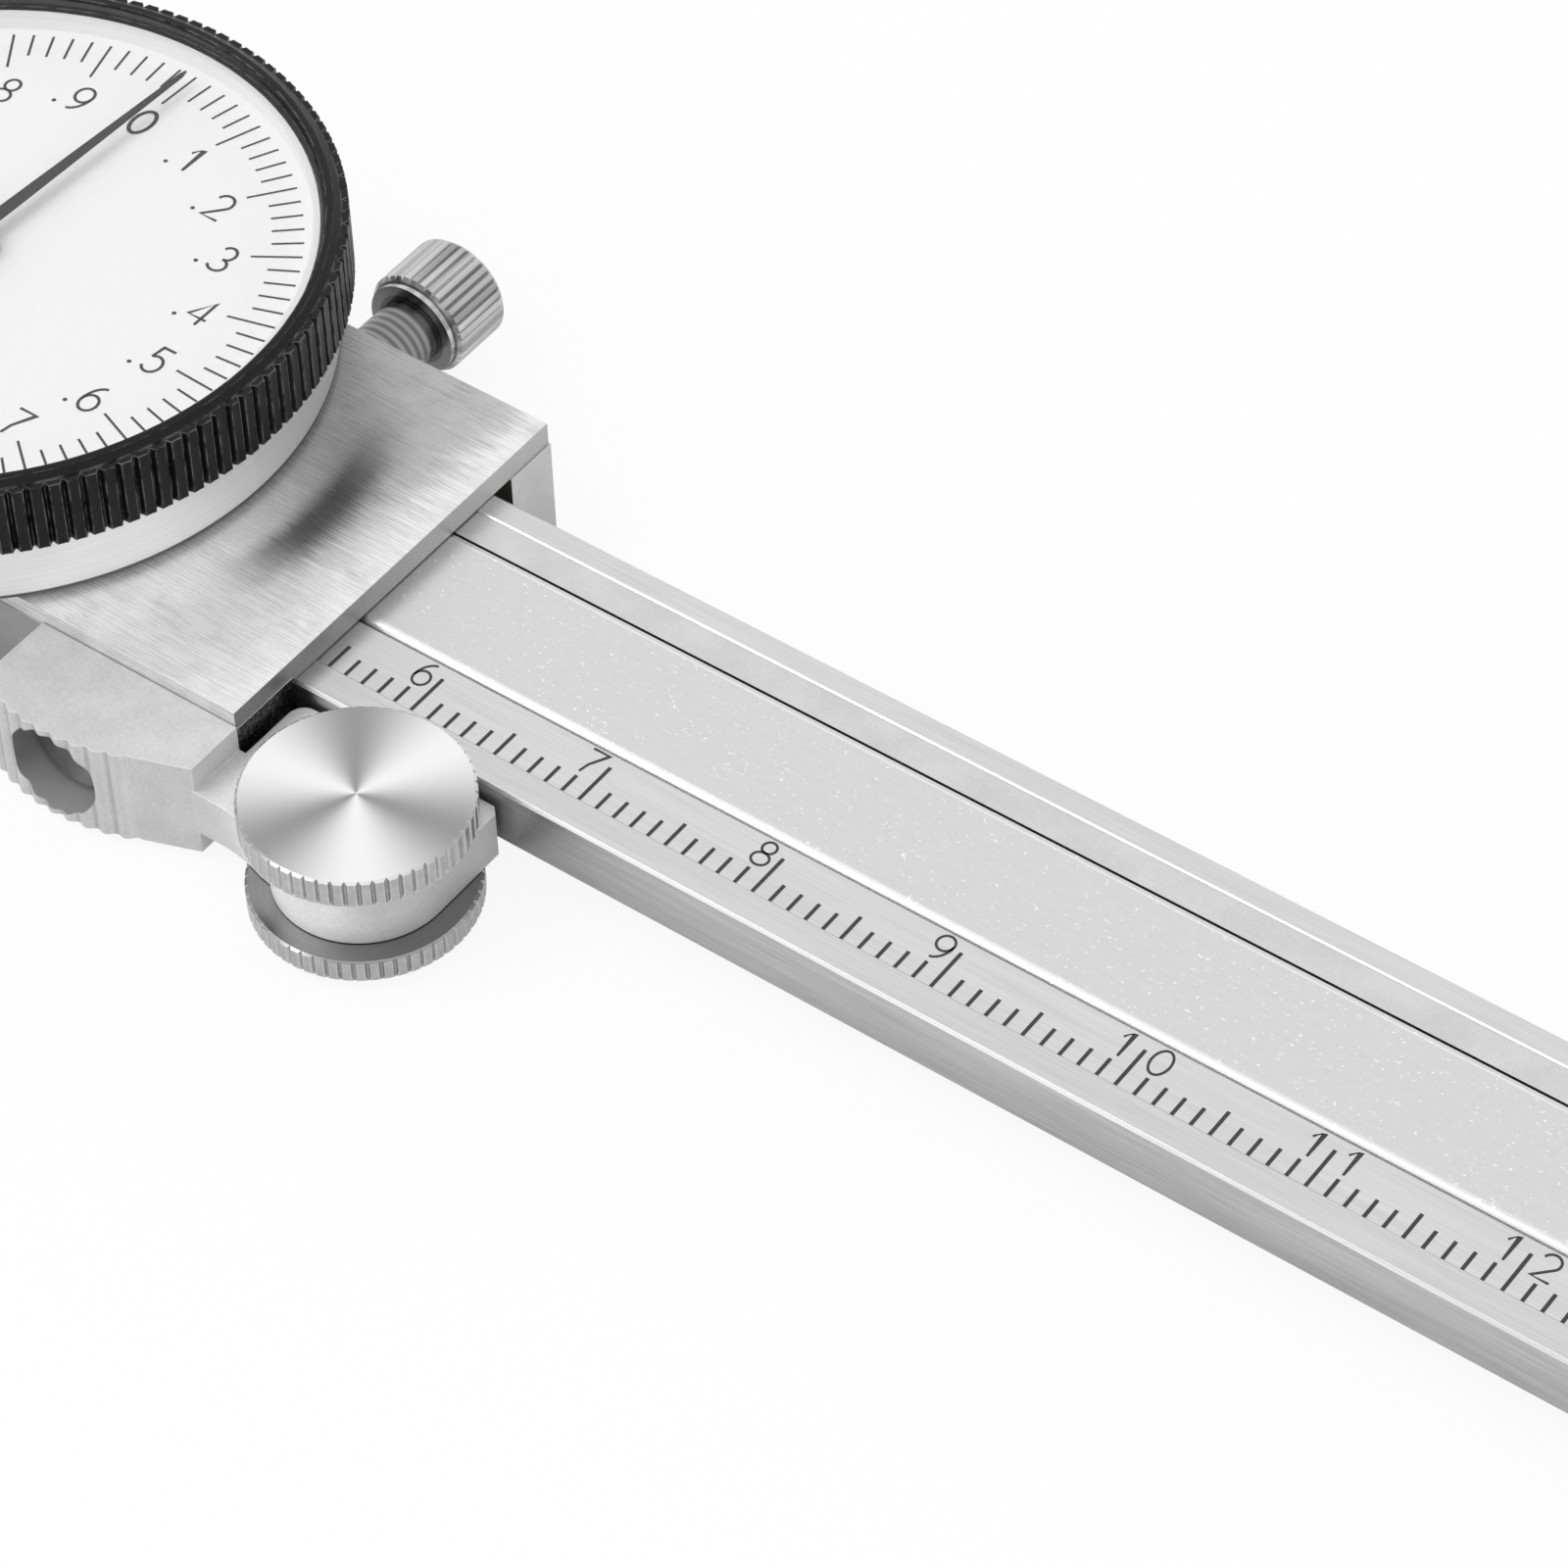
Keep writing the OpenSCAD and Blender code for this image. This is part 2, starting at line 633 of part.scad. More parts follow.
// Slider with the moving jaws: a channel that holds the beam, open at the top for the cover plate
module slider_body() {
    color(satin)
        difference() {
            union() {
                // front wall, floor and rear wall
                along_x(x_jaw, slider_len)
                    polygon([[-half_w, 0], [half_w, 0], [half_w, plate_z], [wall_y, plate_z], [wall_y, floor_t],
                        [y_lo - run, floor_t], [y_lo - run, plate_z + plate_rebate], [-half_w, plate_z + plate_rebate]]);
                // moving outside jaw
                plan(beam_z, face_z)
                    polygon(concat([[x_jaw, out_tip_y], [x_jaw + outside_tip * 0.6, out_tip_y]],
                        jaw_back(1, head_w + 4.5, [7, -half_w], -half_w),
                        [[x_jaw + head_w, -half_w + 0.5], [x_jaw, -half_w + 0.5]]));
                // moving inside jaw, in the front half
                plan(moving_bottom, face_z) {
                    polygon(fin(-1, y_hi + run));
                    polygon(concat([[x_jaw - 0.5, y_hi + run], [x_jaw - 0.5, shoulder_y - 0.5], [x_jaw, shoulder_y]],
                        curve([x_jaw + 1.2, shoulder_y], [x_jaw + 5, shoulder_y], [x_jaw + 6, half_w], [x_jaw + 12, half_w]),
                        [[x_jaw + 12, half_w - 1], [x_jaw + inside_root, half_w - 1], [x_jaw + inside_root, y_hi + run]]));
                }
            }
            // room behind the moving inside jaw for the fixed one
            plan(-1, moving_bottom)
                polygon([[x_jaw - 1, y_hi - 1], [x_jaw + inside_root + 0.6, y_hi - 1], [x_jaw + inside_root + 0.6, in_tip_y + 1], [x_jaw - 1, in_tip_y + 1]]);
            bar_z(x_jaw, y_lo - 1.1, 0.9, floor_t, plate_z + 1);
            knife_cuts(1);
            fin_cut(-1, 1, face_z);
            for (x = [dial_x - cover_screw_dx, dial_x + cover_screw_dx])
                for (y = [-cover_screw_y, cover_screw_y])
                    bar_z(x, y, cover_screw_r + fit, plate_top - cover_screw_len - 0.3, plate_z + 1);
            for (x = gib_screw_x)
                bar_y(x, mid_z, gib_screw_r + fit, wall_y - 1, half_w + 1);
            bar_y(lock_cx, lock_z, neck_r + run, wall_y - 1, half_w + 1);
            bar_y(block_bore_x, bore_z, block_screw_r + fit, -half_w - 1, -half_w + 3.4);
        }
}

module cover_plate() {
    color(brushed)
        difference() {
            along_x(0, plate_end)
                polygon([[-plate_half, plate_z + plate_rebate], [y_lo - run + fit, plate_z + plate_rebate],
                    [y_lo - run + fit, plate_z], [plate_half, plate_z], [plate_half, plate_top], [-plate_half, plate_top]]);
            // bevelled reading edge
            translate([0, half_w + 1, plate_top])
                rotate([90, 0, 0])
                    linear_extrude(slider_w + 2)
                        polygon([[-1, 0.01], [-1, -index_bevel], [0, -index_bevel], [index_bevel * 1.7, 0.01]]);
            for (x = [dial_x - cover_screw_dx, dial_x + cover_screw_dx])
                for (y = [-cover_screw_y, cover_screw_y])
                    flat_seat(x, y, plate_top - fit, cover_screw_r, cover_screw_len);
            for (p = case_screw_at)
                bar_z(p[0], p[1], case_screw_r + fit, plate_top - 1, plate_top + 1);
            for (x = pin_x)
                bar_z(x, (rod_y0 + rod_y1) / 2, pin_r, plate_z - 1, plate_z + 0.9);
            bar_z(pinion_x, pinion_y, bush_r, plate_z - 1, plate_top + 1);
            bar_z(dial_x, 0, arbor_r + run, plate_top - 0.8, plate_top + 1);
        }
}

module cover_screw(sx, sy, a) {
    color(satin)
        flat_screw(dial_x + sx * cover_screw_dx, sy * cover_screw_y, plate_top - fit, cover_screw_r, cover_screw_len, a);
}

module cover_screw_1() {
    cover_screw(-1, -1, 10);
}

module cover_screw_2() {
    cover_screw(1, -1, 55);
}

module cover_screw_3() {
    cover_screw(1, 1, 80);
}

module cover_screw_4() {
    cover_screw(-1, 1, 120);
}

module gib() {
    color(brass)
        difference() {
            translate([gib_x0, gib_y0, floor_t + run])
                cube([slider_len - gib_setback - gib_x0, gib_y1 - gib_y0, beam_t - 0.1]);
            for (x = gib_screw_x)
                bar_y(x, mid_z, 0.6 + fit, gib_y1 - 0.3, gib_y1 + 1);
        }
}

// Set screw that presses on the gib, with a slot in its outer end
module gib_screw(x, a) {
    color(satin)
        difference() {
            union() {
                bar_y(x, mid_z, gib_screw_r, wall_y + 0.1, half_w - 0.25);
                bar_y(x, mid_z, 0.6, gib_y1 - 0.3, wall_y + 0.2);
            }
            translate([x, half_w, mid_z])
                rotate([0, a, 0])
                    cube([3, 1.6, 0.4], center = true);
        }
}

module gib_screw_1() {
    gib_screw(gib_screw_x[0], 20);
}

module gib_screw_2() {
    gib_screw(gib_screw_x[1], 65);
}

module lock_screw() {
    y0 = half_w + knob_off;
    y1 = y0 + knob_len;
    color(satin)
        difference() {
            union() {
                // neck and threaded end
                bar_y(lock_cx, lock_z, neck_r, gib_y1 + 0.05 + pad_len, y0 + 0.5);
                bar_y(lock_cx, lock_z, neck_r + 0.55, half_w + 1.2, y0 + 0.2);
                // knob with a plain shoulder towards the slider
                bar_y(lock_cx, lock_z, knob_r - 0.3, y0, y0 + 0.5);
                translate([lock_cx, y1, lock_z])
                    rotate([90, 0, 0])
                        intersection() {
                            linear_extrude(knob_len - 0.35)
                                polygon(ribbed(knob_r, knob_flutes, 0.16));
                            rotate_extrude()
                                polygon([[0, 0], [knob_r - 0.35, 0], [knob_r + 0.05, 0.4], [knob_r + 0.05, knob_len - 0.6], [knob_r - 0.2, knob_len - 0.35], [0, knob_len - 0.35]]);
                        }
            }
            // turned hollow in the outer face
            bar_y(lock_cx, lock_z, knob_r * 0.55, y1 - 0.2, y1 + 1);
        }
}

module lock_pad() {
    color(brass)
        bar_y(lock_cx, lock_z, neck_r - 0.05, gib_y1 + 0.03, gib_y1 + 0.03 + pad_len);
}

// Depth rod: a flat bar with a rounded near edge, a root under the cover plate and a ground tip
module depth_rod() {
    mid = (rod_y0 + rod_y1) / 2;
    color(brushed)
        difference() {
            along_x(rod_root, x_end)
                polygon(concat([[rod_y0 + 0.1, rod_bottom], [rod_y1 - 0.1, rod_bottom], [rod_y1, rod_bottom + 0.1],
                    [rod_y1, rod_top - rod_bevel], [rod_y1 - rod_bevel * 5, rod_top]],
                    [for (i = [0:6]) let (a = 90 + 90 * i / 6)
                        [rod_y0 + rod_edge + rod_edge * cos(a), rod_top - 0.45 + 0.45 * sin(a)]],
                    [[rod_y0, rod_bottom + 0.1]]));
            for (x = pin_x)
                bar_z(x, mid, pin_r, rod_top - 1.1, rod_top + 1);
            // step at the tip, for narrow corners
            translate([x_end - 3, rod_y1 - 2.2, rod_bottom - 1])
                cube([4, 4, 4]);
        }
}

module rod_pin(i) {
    color(satin)
        bar_z(pin_x[i], (rod_y0 + rod_y1) / 2, pin_r, rod_top - 1.1, plate_z + 0.9);
}

module rod_pin_1() {
    rod_pin(0);
}

module rod_pin_2() {
    rod_pin(1);
}

// Crown of the thumb block: its distance out, with the serrations laid on it
function crown(x) = crown_y - sqrt(pow(block_crown, 2) - pow(x - crown_x, 2));
function serration(x) = flute_depth * pow(abs(sin(180 * (x - block_x) / flute_pitch)), 1.6);

module block_plan() {
    step = flute_pitch / 8;
    n = floor((slope_x - block_x - 0.8) / step);
    polygon(concat(
        [[block_x, block_y], [block_x, crown(block_x) + 1]],
        [for (i = [0:n]) let (x = block_x + 0.6 + i * step) [x, crown(x) + flute_depth - serration(x)]],
        [[slope_x, crown(slope_x) + 0.1], [slider_len, arm_front + 0.05], [slider_len, block_y]]));
}

// Plan of the arm: a foot at the block, the round front about the roller and a square back along the beam
module arm_plan() {
    difference() {
        union() {
            translate([rx, ry])
                circle(r = arm_r);
            polygon(concat(
                [[slider_len - 1, block_y], [slider_len - 1, arm_front], [blend_x, arm_front]],
                [[blend_x + (arm_blend + 0.5) * cos(blend_a), blend_y + (arm_blend + 0.5) * sin(blend_a)]],
                [[arm_right, ry], [arm_right, arm_back - 0.35], [arm_right - 0.35, arm_back]],
                arc(arm_left + arm_corner, arm_back - arm_corner, arm_corner, 90, 180, 8),
                [[arm_left, block_y]]));
        }
        translate([blend_x, blend_y])
            circle(r = arm_blend);
    }
}

module thumb_block() {
    color(satin)
        difference() {
            union() {
                plan(block_rise, block_rise + block_h) block_plan();
                plan(arm_bottom, arm_top) arm_plan();
                // boss that carries the roller's top disc
                bar_z(rx, ry, arm_r, arm_top - 0.5, disc_bottom - disc_gap);
            }
            bar_y(block_bore_x, bore_z, block_bore, block_y - block_reach - 1, block_bore_y);
            bar_y(block_bore_x, bore_z, block_screw_r + fit, block_bore_y - 1, block_y + 1);
            bar_z(rx, ry, shaft_r + run, -1, disc_top);
        }
}

module block_screw() {
    color(bright)
        difference() {
            union() {
                bar_y(block_bore_x, bore_z, block_bore - 0.25, block_bore_y - block_head_h, block_bore_y);
                bar_y(block_bore_x, bore_z, block_screw_r, block_bore_y - 0.5, block_y + 3.2);
            }
            translate([block_bore_x, block_bore_y - block_head_h, bore_z])
                rotate([0, 30, 0])
                    cube([2 * block_bore, 1.4, 0.85], center = true);
        }
}

// Fluted disc with small chamfers, from z0 to z1
module fluted_disc(z0, z1) {
    translate([rx, ry, z0])
        intersection() {
            linear_extrude(z1 - z0)
                polygon(ribbed(roller_r, roller_flutes, roller_flute_depth));
            rotate_extrude()
                polygon([[0, 0], [roller_r - 0.12, 0], [roller_r + 0.05, 0.15], [roller_r + 0.05, z1 - z0 - 0.15], [roller_r - 0.14, z1 - z0], [0, z1 - z0]]);
        }
}

module roller_top() {
    color(bright)
        difference() {
            union() {
                fluted_disc(disc_bottom, disc_top);
                bar_z(rx, ry, shaft_r, disc_low_top, disc_bottom + 0.3);
            }
            bar_z(rx, ry, roller_screw_r + fit, disc_low_top - 1, disc_low + roller_screw_len + 0.4);
            // tiny centre mark left by turning
            translate([rx, ry, disc_top - 0.1])
                cylinder(r1 = 0, r2 = 0.12, h = 0.12);
        }
}

module roller_bottom() {
    color(bright)
        difference() {
            fluted_disc(disc_low, disc_low_top);
            translate([rx, ry, 0])
                mirror([0, 0, 1])
                    flat_seat(0, 0, -disc_low, roller_screw_r, roller_screw_len);
        }
}

module roller_screw() {
    color(satin)
        translate([rx, ry, 0])
            mirror([0, 0, 1])
                flat_screw(0, 0, -disc_low, roller_screw_r, roller_screw_len, 40);
}

module dial_case() {
    color(bright)
        difference() {
            translate([dial_x, 0, 0])
                rotate_extrude($fn = 96)
                    polygon([[0, case_z], [case_r - 0.3, case_z], [case_r - 0.3, case_z + 0.2], [case_r, case_z + 0.3],
                        [case_r, case_top - 0.1], [case_r - 0.1, case_top], [collar_r, case_top],
                        [collar_r, snap_z], [collar_r - snap_depth, snap_z], [collar_r - snap_depth, snap_z + snap_t + 0.1],
                        [collar_r, snap_z + snap_t + 0.1], [collar_r, collar_top], [collar_in, collar_top],
                        [collar_in, case_top - 0.5], [case_in, case_top - 1], [case_in, case_floor_z], [0, case_floor_z]]);
            for (p = case_screw_at)
                flat_seat(p[0], p[1], case_floor_z - 0.1, case_screw_r, case_screw_len);
            for (p = post_at)
                bar_z(p[0], p[1], post_screw_r + fit, case_z - 1, case_floor_z + 1);
            bar_z(pinion_x, pinion_y, bush_r, case_z - 1, case_floor_z + 1);
            bar_z(dial_x, 0, arbor_r + run, case_z - 1, case_floor_z + 1);
        }
}

module case_screw(i, a) {
    color(satin)
        flat_screw(case_screw_at[i][0], case_screw_at[i][1], case_floor_z - 0.1, case_screw_r, case_screw_len, a);
}

module case_screw_1() {
    case_screw(0, 15);
}

module case_screw_2() {
    case_screw(1, 75);
}

module case_screw_3() {
    case_screw(2, 140);
}

// Open ring that keeps the bezel on the collar
module snap_ring() {
    color(brass)
        difference() {
            translate([dial_x, 0, snap_z + 0.05])
                rotate_extrude($fn = 96)
                    translate([collar_r - snap_depth + fit, 0])
                        square([snap_depth + 0.2, snap_t]);
            translate([dial_x, 0, snap_z - 1])
                linear_extrude(3)
                    polygon([[0, 0], [30 * cos(200 - snap_gap), 30 * sin(200 - snap_gap)], [30 * cos(200 + snap_gap), 30 * sin(200 + snap_gap)]]);
        }
}

module bezel() {
    color(black)
        translate([dial_x, 0, 0])
            difference() {
                union() {
                    plan(bezel_z, bezel_top)
                        polygon(ribbed(bezel_r, bezel_ribs, rib_depth));
                    // rim: falls gently to the outside and rounds over
                    rotate_extrude($fn = 96)
                        polygon([[rim_r - 1, bezel_top - 0.5], [rim_foot, bezel_top - 0.5], [rim_foot, bezel_top + 0.06],
                            [rim_r + 0.35, rim_z - 0.02], [rim_r + 0.1, rim_z], [rim_r - 1, rim_z]]);
                }
                // inside: collar bore with its groove, ledge, face seat and crystal seat
                rotate_extrude($fn = 96)
                    polygon([[0, bezel_z - 1], [bezel_in, bezel_z - 1], [bezel_in, snap_z - 0.05], [bezel_in + 0.3, snap_z - 0.05],
                        [bezel_in + 0.3, snap_z + snap_t + 0.15], [bezel_in, snap_z + snap_t + 0.15], [bezel_in, collar_top + run],
                        [ledge_in, collar_top + run], [ledge_in, face_z0], [face_r + fit, face_z0], [face_r + fit, crystal_z],
                        [crystal_r + fit, crystal_z], [rim_r, rim_z + 1], [0, rim_z + 1]]);
            }
}

// Clear cover with a low dome
module crystal() {
    steps = 12;
    low = [for (i = [0:steps]) let (r = (crystal_r - 0.3) * (1 - i / steps)) [r, crystal_z + crystal_rise * (1 - pow(r / crystal_r, 2))]];
    high = [for (i = [0:steps]) let (r = (crystal_r - 0.25) * i / steps) [r, crystal_z + crystal_t + crystal_rise * (1 - pow(r / crystal_r, 2))]];
    color(clear)
        translate([dial_x, 0, 0])
            rotate_extrude($fn = 96)
                polygon(concat([[crystal_r, crystal_z]], low, high, [[crystal_r, crystal_z + crystal_t - 0.15]]));
}

module dial_face() {
    color(white)
        translate([dial_x, 0, 0])
            rotate_extrude($fn = 96)
                translate([face_hole, face_z0])
                    square([face_r - face_hole, face_t]);
}

// Ring between the face and the crystal
module face_ring() {
    color(white)
        translate([dial_x, 0, 0])
            rotate_extrude($fn = 96)
                translate([face_r - face_ring_w, face_top])
                    square([face_ring_w, crystal_z - face_top]);
}

module pointer() {
    color(black)
        translate([dial_x, 0, 0])
            rotate([0, 0, dial_turn])
                difference() {
                    union() {
                        plan(pointer_z, pointer_z + pointer_t)
                            polygon([[-pointer_w / 2, 0], [-pointer_tip / 2, pointer_len - 0.4], [0, pointer_len],
                                [pointer_tip / 2, pointer_len - 0.4], [pointer_w / 2, 0],
                                [pointer_w * 0.8, 0.6 - pointer_tail], [0, -pointer_tail], [-pointer_w * 0.8, 0.6 - pointer_tail]]);
                        bar_z(0, 0, pointer_hub, pointer_z - 0.35, pointer_z + pointer_t + 0.15);
                    }
                    bar_z(0, 0, pivot_r, pointer_z - 1, pointer_z + 1);
                }
}

// Pinion that runs on the rack, with its arbor up to the bridge
module rack_pinion() {
    color(brass)
        union() {
            translate([pinion_x, pinion_y, pinion_bottom])
                rotate([0, 0, 90])
                    linear_extrude(pinion_top - pinion_bottom)
                        polygon(gear_outline(pinion_teeth, rack_module));
            bar_z(pinion_x, pinion_y, arbor_r, pinion_bottom, spring_z + spring_h);
            bar_z(pinion_x, pinion_y, arbor_r + 0.3, case_floor_z + 0.15, gear_z);
            bar_z(pinion_x, pinion_y, pivot_r, spring_z, bridge_z + bridge_t - 0.15);
        }
}

module pinion_bush() {
    color(brass)
        difference() {
            bar_z(pinion_x, pinion_y, bush_r, plate_z + 0.05, case_floor_z);
            bar_z(pinion_x, pinion_y, arbor_r + run, plate_z - 1, case_floor_z + 1);
        }
}

// Spoked wheel with the main gear's teeth, from z0 to z1
module gear_wheel(z0, z1, bore) {
    difference() {
        translate([pinion_x, pinion_y, z0])
            rotate([0, 0, mesh_a])
                linear_extrude(z1 - z0)
                    polygon(gear_outline(main_teeth, gear_module));
        bar_z(pinion_x, pinion_y, bore, z0 - 1, z1 + 1);
        for (i = [0:4])
            translate([pinion_x, pinion_y, 0])
                rotate([0, 0, 72 * i])
                    bar_z(main_pr * 0.6, 0, main_pr * 0.22, z0 - 1, z1 + 1);
    }
}

module main_gear() {
    color(brass)
        gear_wheel(gear_z, gear_z + gear_t, arbor_r);
}

// Twin of the main gear, loose on the arbor; its spring keeps both against the pointer's pinion
module scissor_gear() {
    color(brass)
        gear_wheel(scissor_z, scissor_z + scissor_t, arbor_r + fit);
}

// Flat spiral from the arbor to the pin on the scissor gear
module scissor_spring() {
    steps = spring_turns * 24;
    inner = arbor_r + fit;
    outer = spring_r - pin_spring_r - spring_w;
    color(satin)
        translate([pinion_x, pinion_y, spring_z])
            rotate([0, 0, spring_a])
                linear_extrude(spring_h)
                    polygon(concat(
                        [for (i = [0:steps]) let (a = 15 * i, r = inner + (outer - inner) * i / steps)
                            [r * cos(a), r * sin(a)]],
                        [for (i = [steps:-1:0]) let (a = 15 * i, r = inner + spring_w + (outer - inner) * i / steps)
                            [r * cos(a), r * sin(a)]]));
}

module spring_pin() {
    color(satin)
        translate([pinion_x, pinion_y, 0])
            rotate([0, 0, spring_a])
                bar_z(spring_r, 0, pin_spring_r, scissor_z + scissor_t, spring_z + spring_h + 0.1);
}

// Pointer's pinion on its arbor, which ends in the pointer's seat
module centre_arbor() {
    color(brass)
        union() {
            bar_z(dial_x, 0, arbor_r, plate_top - 0.7, face_top + 0.1);
            translate([dial_x, 0, gear_z - 0.2])
                rotate([0, 0, centre_a])
                    linear_extrude(scissor_z + scissor_t - gear_z + 0.4)
                        polygon(gear_outline(centre_teeth, gear_module));
            bar_z(dial_x, 0, pivot_r, face_top, pointer_z + pointer_t + 0.1);
        }
}

// Bridge: a flat plate on three posts that holds the upper pivots
module bridge() {
    color(brass)
        difference() {
            plan(bridge_z, bridge_z + bridge_t) {
                for (p = post_at)
                    translate(p)
                        circle(r = bridge_w);
                polygon([post_at[0] + bridge_w * [-0.8, 0.5],
                    [pinion_x, pinion_y] + bridge_w * [-1, 0.75], [pinion_x, pinion_y] + bridge_w * [-1.2, -0.5],
                    post_at[1] + bridge_w * [-0.9, 0.4], post_at[1] + bridge_w * [0.5, -0.9],
                    post_at[2] + bridge_w * [0.3, -0.95], post_at[2] + bridge_w * [0.95, 0.3],
                    post_at[0] + bridge_w * [0.95, 0.3]]);
            }
            for (p = post_at)
                bar_z(p[0], p[1], post_screw_r + fit, bridge_z - 1, bridge_z + 2);
            bar_z(pinion_x, pinion_y, pivot_r + run, bridge_z - 1, bridge_z + 2);
            bar_z(dial_x, 0, arbor_r + run, bridge_z - 1, bridge_z + 2);
        }
}

module post(i) {
    color(brass)
        difference() {
            union() {
                bar_z(post_at[i][0], post_at[i][1], post_r, case_floor_z, bridge_z);
                bar_z(post_at[i][0], post_at[i][1], post_screw_r, case_z + 0.1, case_floor_z + 0.5);
            }
            bar_z(post_at[i][0], post_at[i][1], post_screw_r + fit, bridge_z - 1.6, bridge_z + 1);
        }
}

module post_1() {
    post(0);
}

module post_2() {
    post(1);
}

module post_3() {
    post(2);
}

// Cheese-head screw through the bridge into a post
module bridge_screw(i, a) {
    x = post_at[i][0];
    y = post_at[i][1];
    z = bridge_z + bridge_t;
    color(satin)
        difference() {
            union() {
                bar_z(x, y, post_screw_r, bridge_z - 1.4, z + 0.1);
                bar_z(x, y, post_screw_head, z, z + 0.5);
            }
            translate([x, y, z + 0.5])
                rotate([0, 0, a])
                    cube([3, 0.25, 0.5], center = true);
        }
}

module bridge_screw_1() {
    bridge_screw(0, 30);
}

module bridge_screw_2() {
    bridge_screw(1, 100);
}

module bridge_screw_3() {
    bridge_screw(2, 160);
}

beam();
rack_bar();
end_plate();
end_screw_1();
end_screw_2();
slider_body();
cover_plate();
cover_screw_1();
cover_screw_2();
cover_screw_3();
cover_screw_4();
gib();
gib_screw_1();
gib_screw_2();
lock_screw();
lock_pad();
depth_rod();
rod_pin_1();
rod_pin_2();
thumb_block();
block_screw();
roller_top();
roller_bottom();
roller_screw();
dial_case();
case_screw_1();
case_screw_2();
case_screw_3();
snap_ring();
bezel();
crystal();
dial_face();
face_ring();
pointer();
rack_pinion();
pinion_bush();
main_gear();
scissor_gear();
scissor_spring();
spring_pin();
centre_arbor();
bridge();
post_1();
post_2();
post_3();
bridge_screw_1();
bridge_screw_2();
bridge_screw_3();
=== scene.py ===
import json
import math

import bmesh
import bpy
from mathutils import Matrix, Vector


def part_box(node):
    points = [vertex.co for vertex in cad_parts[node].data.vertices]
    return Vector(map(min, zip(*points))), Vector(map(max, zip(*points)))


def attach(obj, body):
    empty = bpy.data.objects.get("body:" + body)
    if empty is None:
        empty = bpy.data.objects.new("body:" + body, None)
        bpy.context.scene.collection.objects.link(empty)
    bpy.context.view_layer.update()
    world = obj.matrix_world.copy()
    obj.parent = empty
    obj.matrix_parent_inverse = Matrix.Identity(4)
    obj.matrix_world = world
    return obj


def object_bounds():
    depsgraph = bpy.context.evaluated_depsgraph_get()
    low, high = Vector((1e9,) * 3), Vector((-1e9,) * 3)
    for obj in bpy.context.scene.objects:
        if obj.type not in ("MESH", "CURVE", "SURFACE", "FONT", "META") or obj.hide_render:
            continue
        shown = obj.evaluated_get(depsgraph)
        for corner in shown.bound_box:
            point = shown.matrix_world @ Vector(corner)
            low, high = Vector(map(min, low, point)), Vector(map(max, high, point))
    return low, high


# Dial caliper on a white studio floor: camera, light, printed marks and finishes.
# Places, marks, camera and lamp are in metres in the frame's own axes. MM turns millimetres into them.
# Finishes work in millimetres in the same axes.

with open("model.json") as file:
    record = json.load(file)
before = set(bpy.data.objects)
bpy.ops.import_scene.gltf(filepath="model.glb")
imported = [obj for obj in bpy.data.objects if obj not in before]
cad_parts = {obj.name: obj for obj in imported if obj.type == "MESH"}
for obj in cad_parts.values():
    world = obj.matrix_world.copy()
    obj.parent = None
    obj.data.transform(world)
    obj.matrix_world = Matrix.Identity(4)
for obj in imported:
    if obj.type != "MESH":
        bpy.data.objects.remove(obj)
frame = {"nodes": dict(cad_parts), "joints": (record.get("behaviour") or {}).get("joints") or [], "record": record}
cad_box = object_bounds()
scene = bpy.context.scene
MM = 0.001


# Places taken from the frame

def low(node):
    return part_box(node)[0]


def high(node):
    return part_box(node)[1]


def joint_place(name):
    return next(Vector(j["pos_m"]) for j in frame["joints"] if j["name"] == name)


# Axes of the dial, the roller, the lock screw and the thumb block's bore
DIAL = joint_place("hand_spin")
ROLLER = joint_place("roller_spin")
LOCK = joint_place("lock_turn")
BORE = (low("block_screw") + high("block_screw")) / 2

# Heights of the surfaces that carry the printed marks
STRIP_Z = high("rack_bar").z
FACE_Z = high("dial_face").z

# Camera, set from the scale's lines in the photograph

CAMERA_AT = Vector((189.345, -146.163, 204.157)) * MM
CAMERA_RIGHT = Vector((0.8073, 0.5898, -0.0208))
CAMERA_BACK = Vector((0.4138, -0.5405, 0.7326))
LENS = 133.6
SENSOR = 36
NEAREST, FARTHEST = 0.01, 20


def make_camera():
    data = bpy.data.cameras.new("camera")
    data.lens = LENS
    data.sensor_width = SENSOR
    data.sensor_fit = "AUTO"
    data.clip_start = NEAREST
    data.clip_end = FARTHEST
    camera = bpy.data.objects.new("camera", data)
    back = CAMERA_BACK.normalized()
    up = back.cross(CAMERA_RIGHT).normalized()
    right = up.cross(back)
    turn = Matrix((right, up, back)).transposed()
    camera.matrix_world = Matrix.Translation(CAMERA_AT) @ turn.to_4x4()
    scene.collection.objects.link(camera)
    scene.camera = camera


make_camera()


# Shader maths: operators on a Value add Math nodes, and Shading.node makes any other node

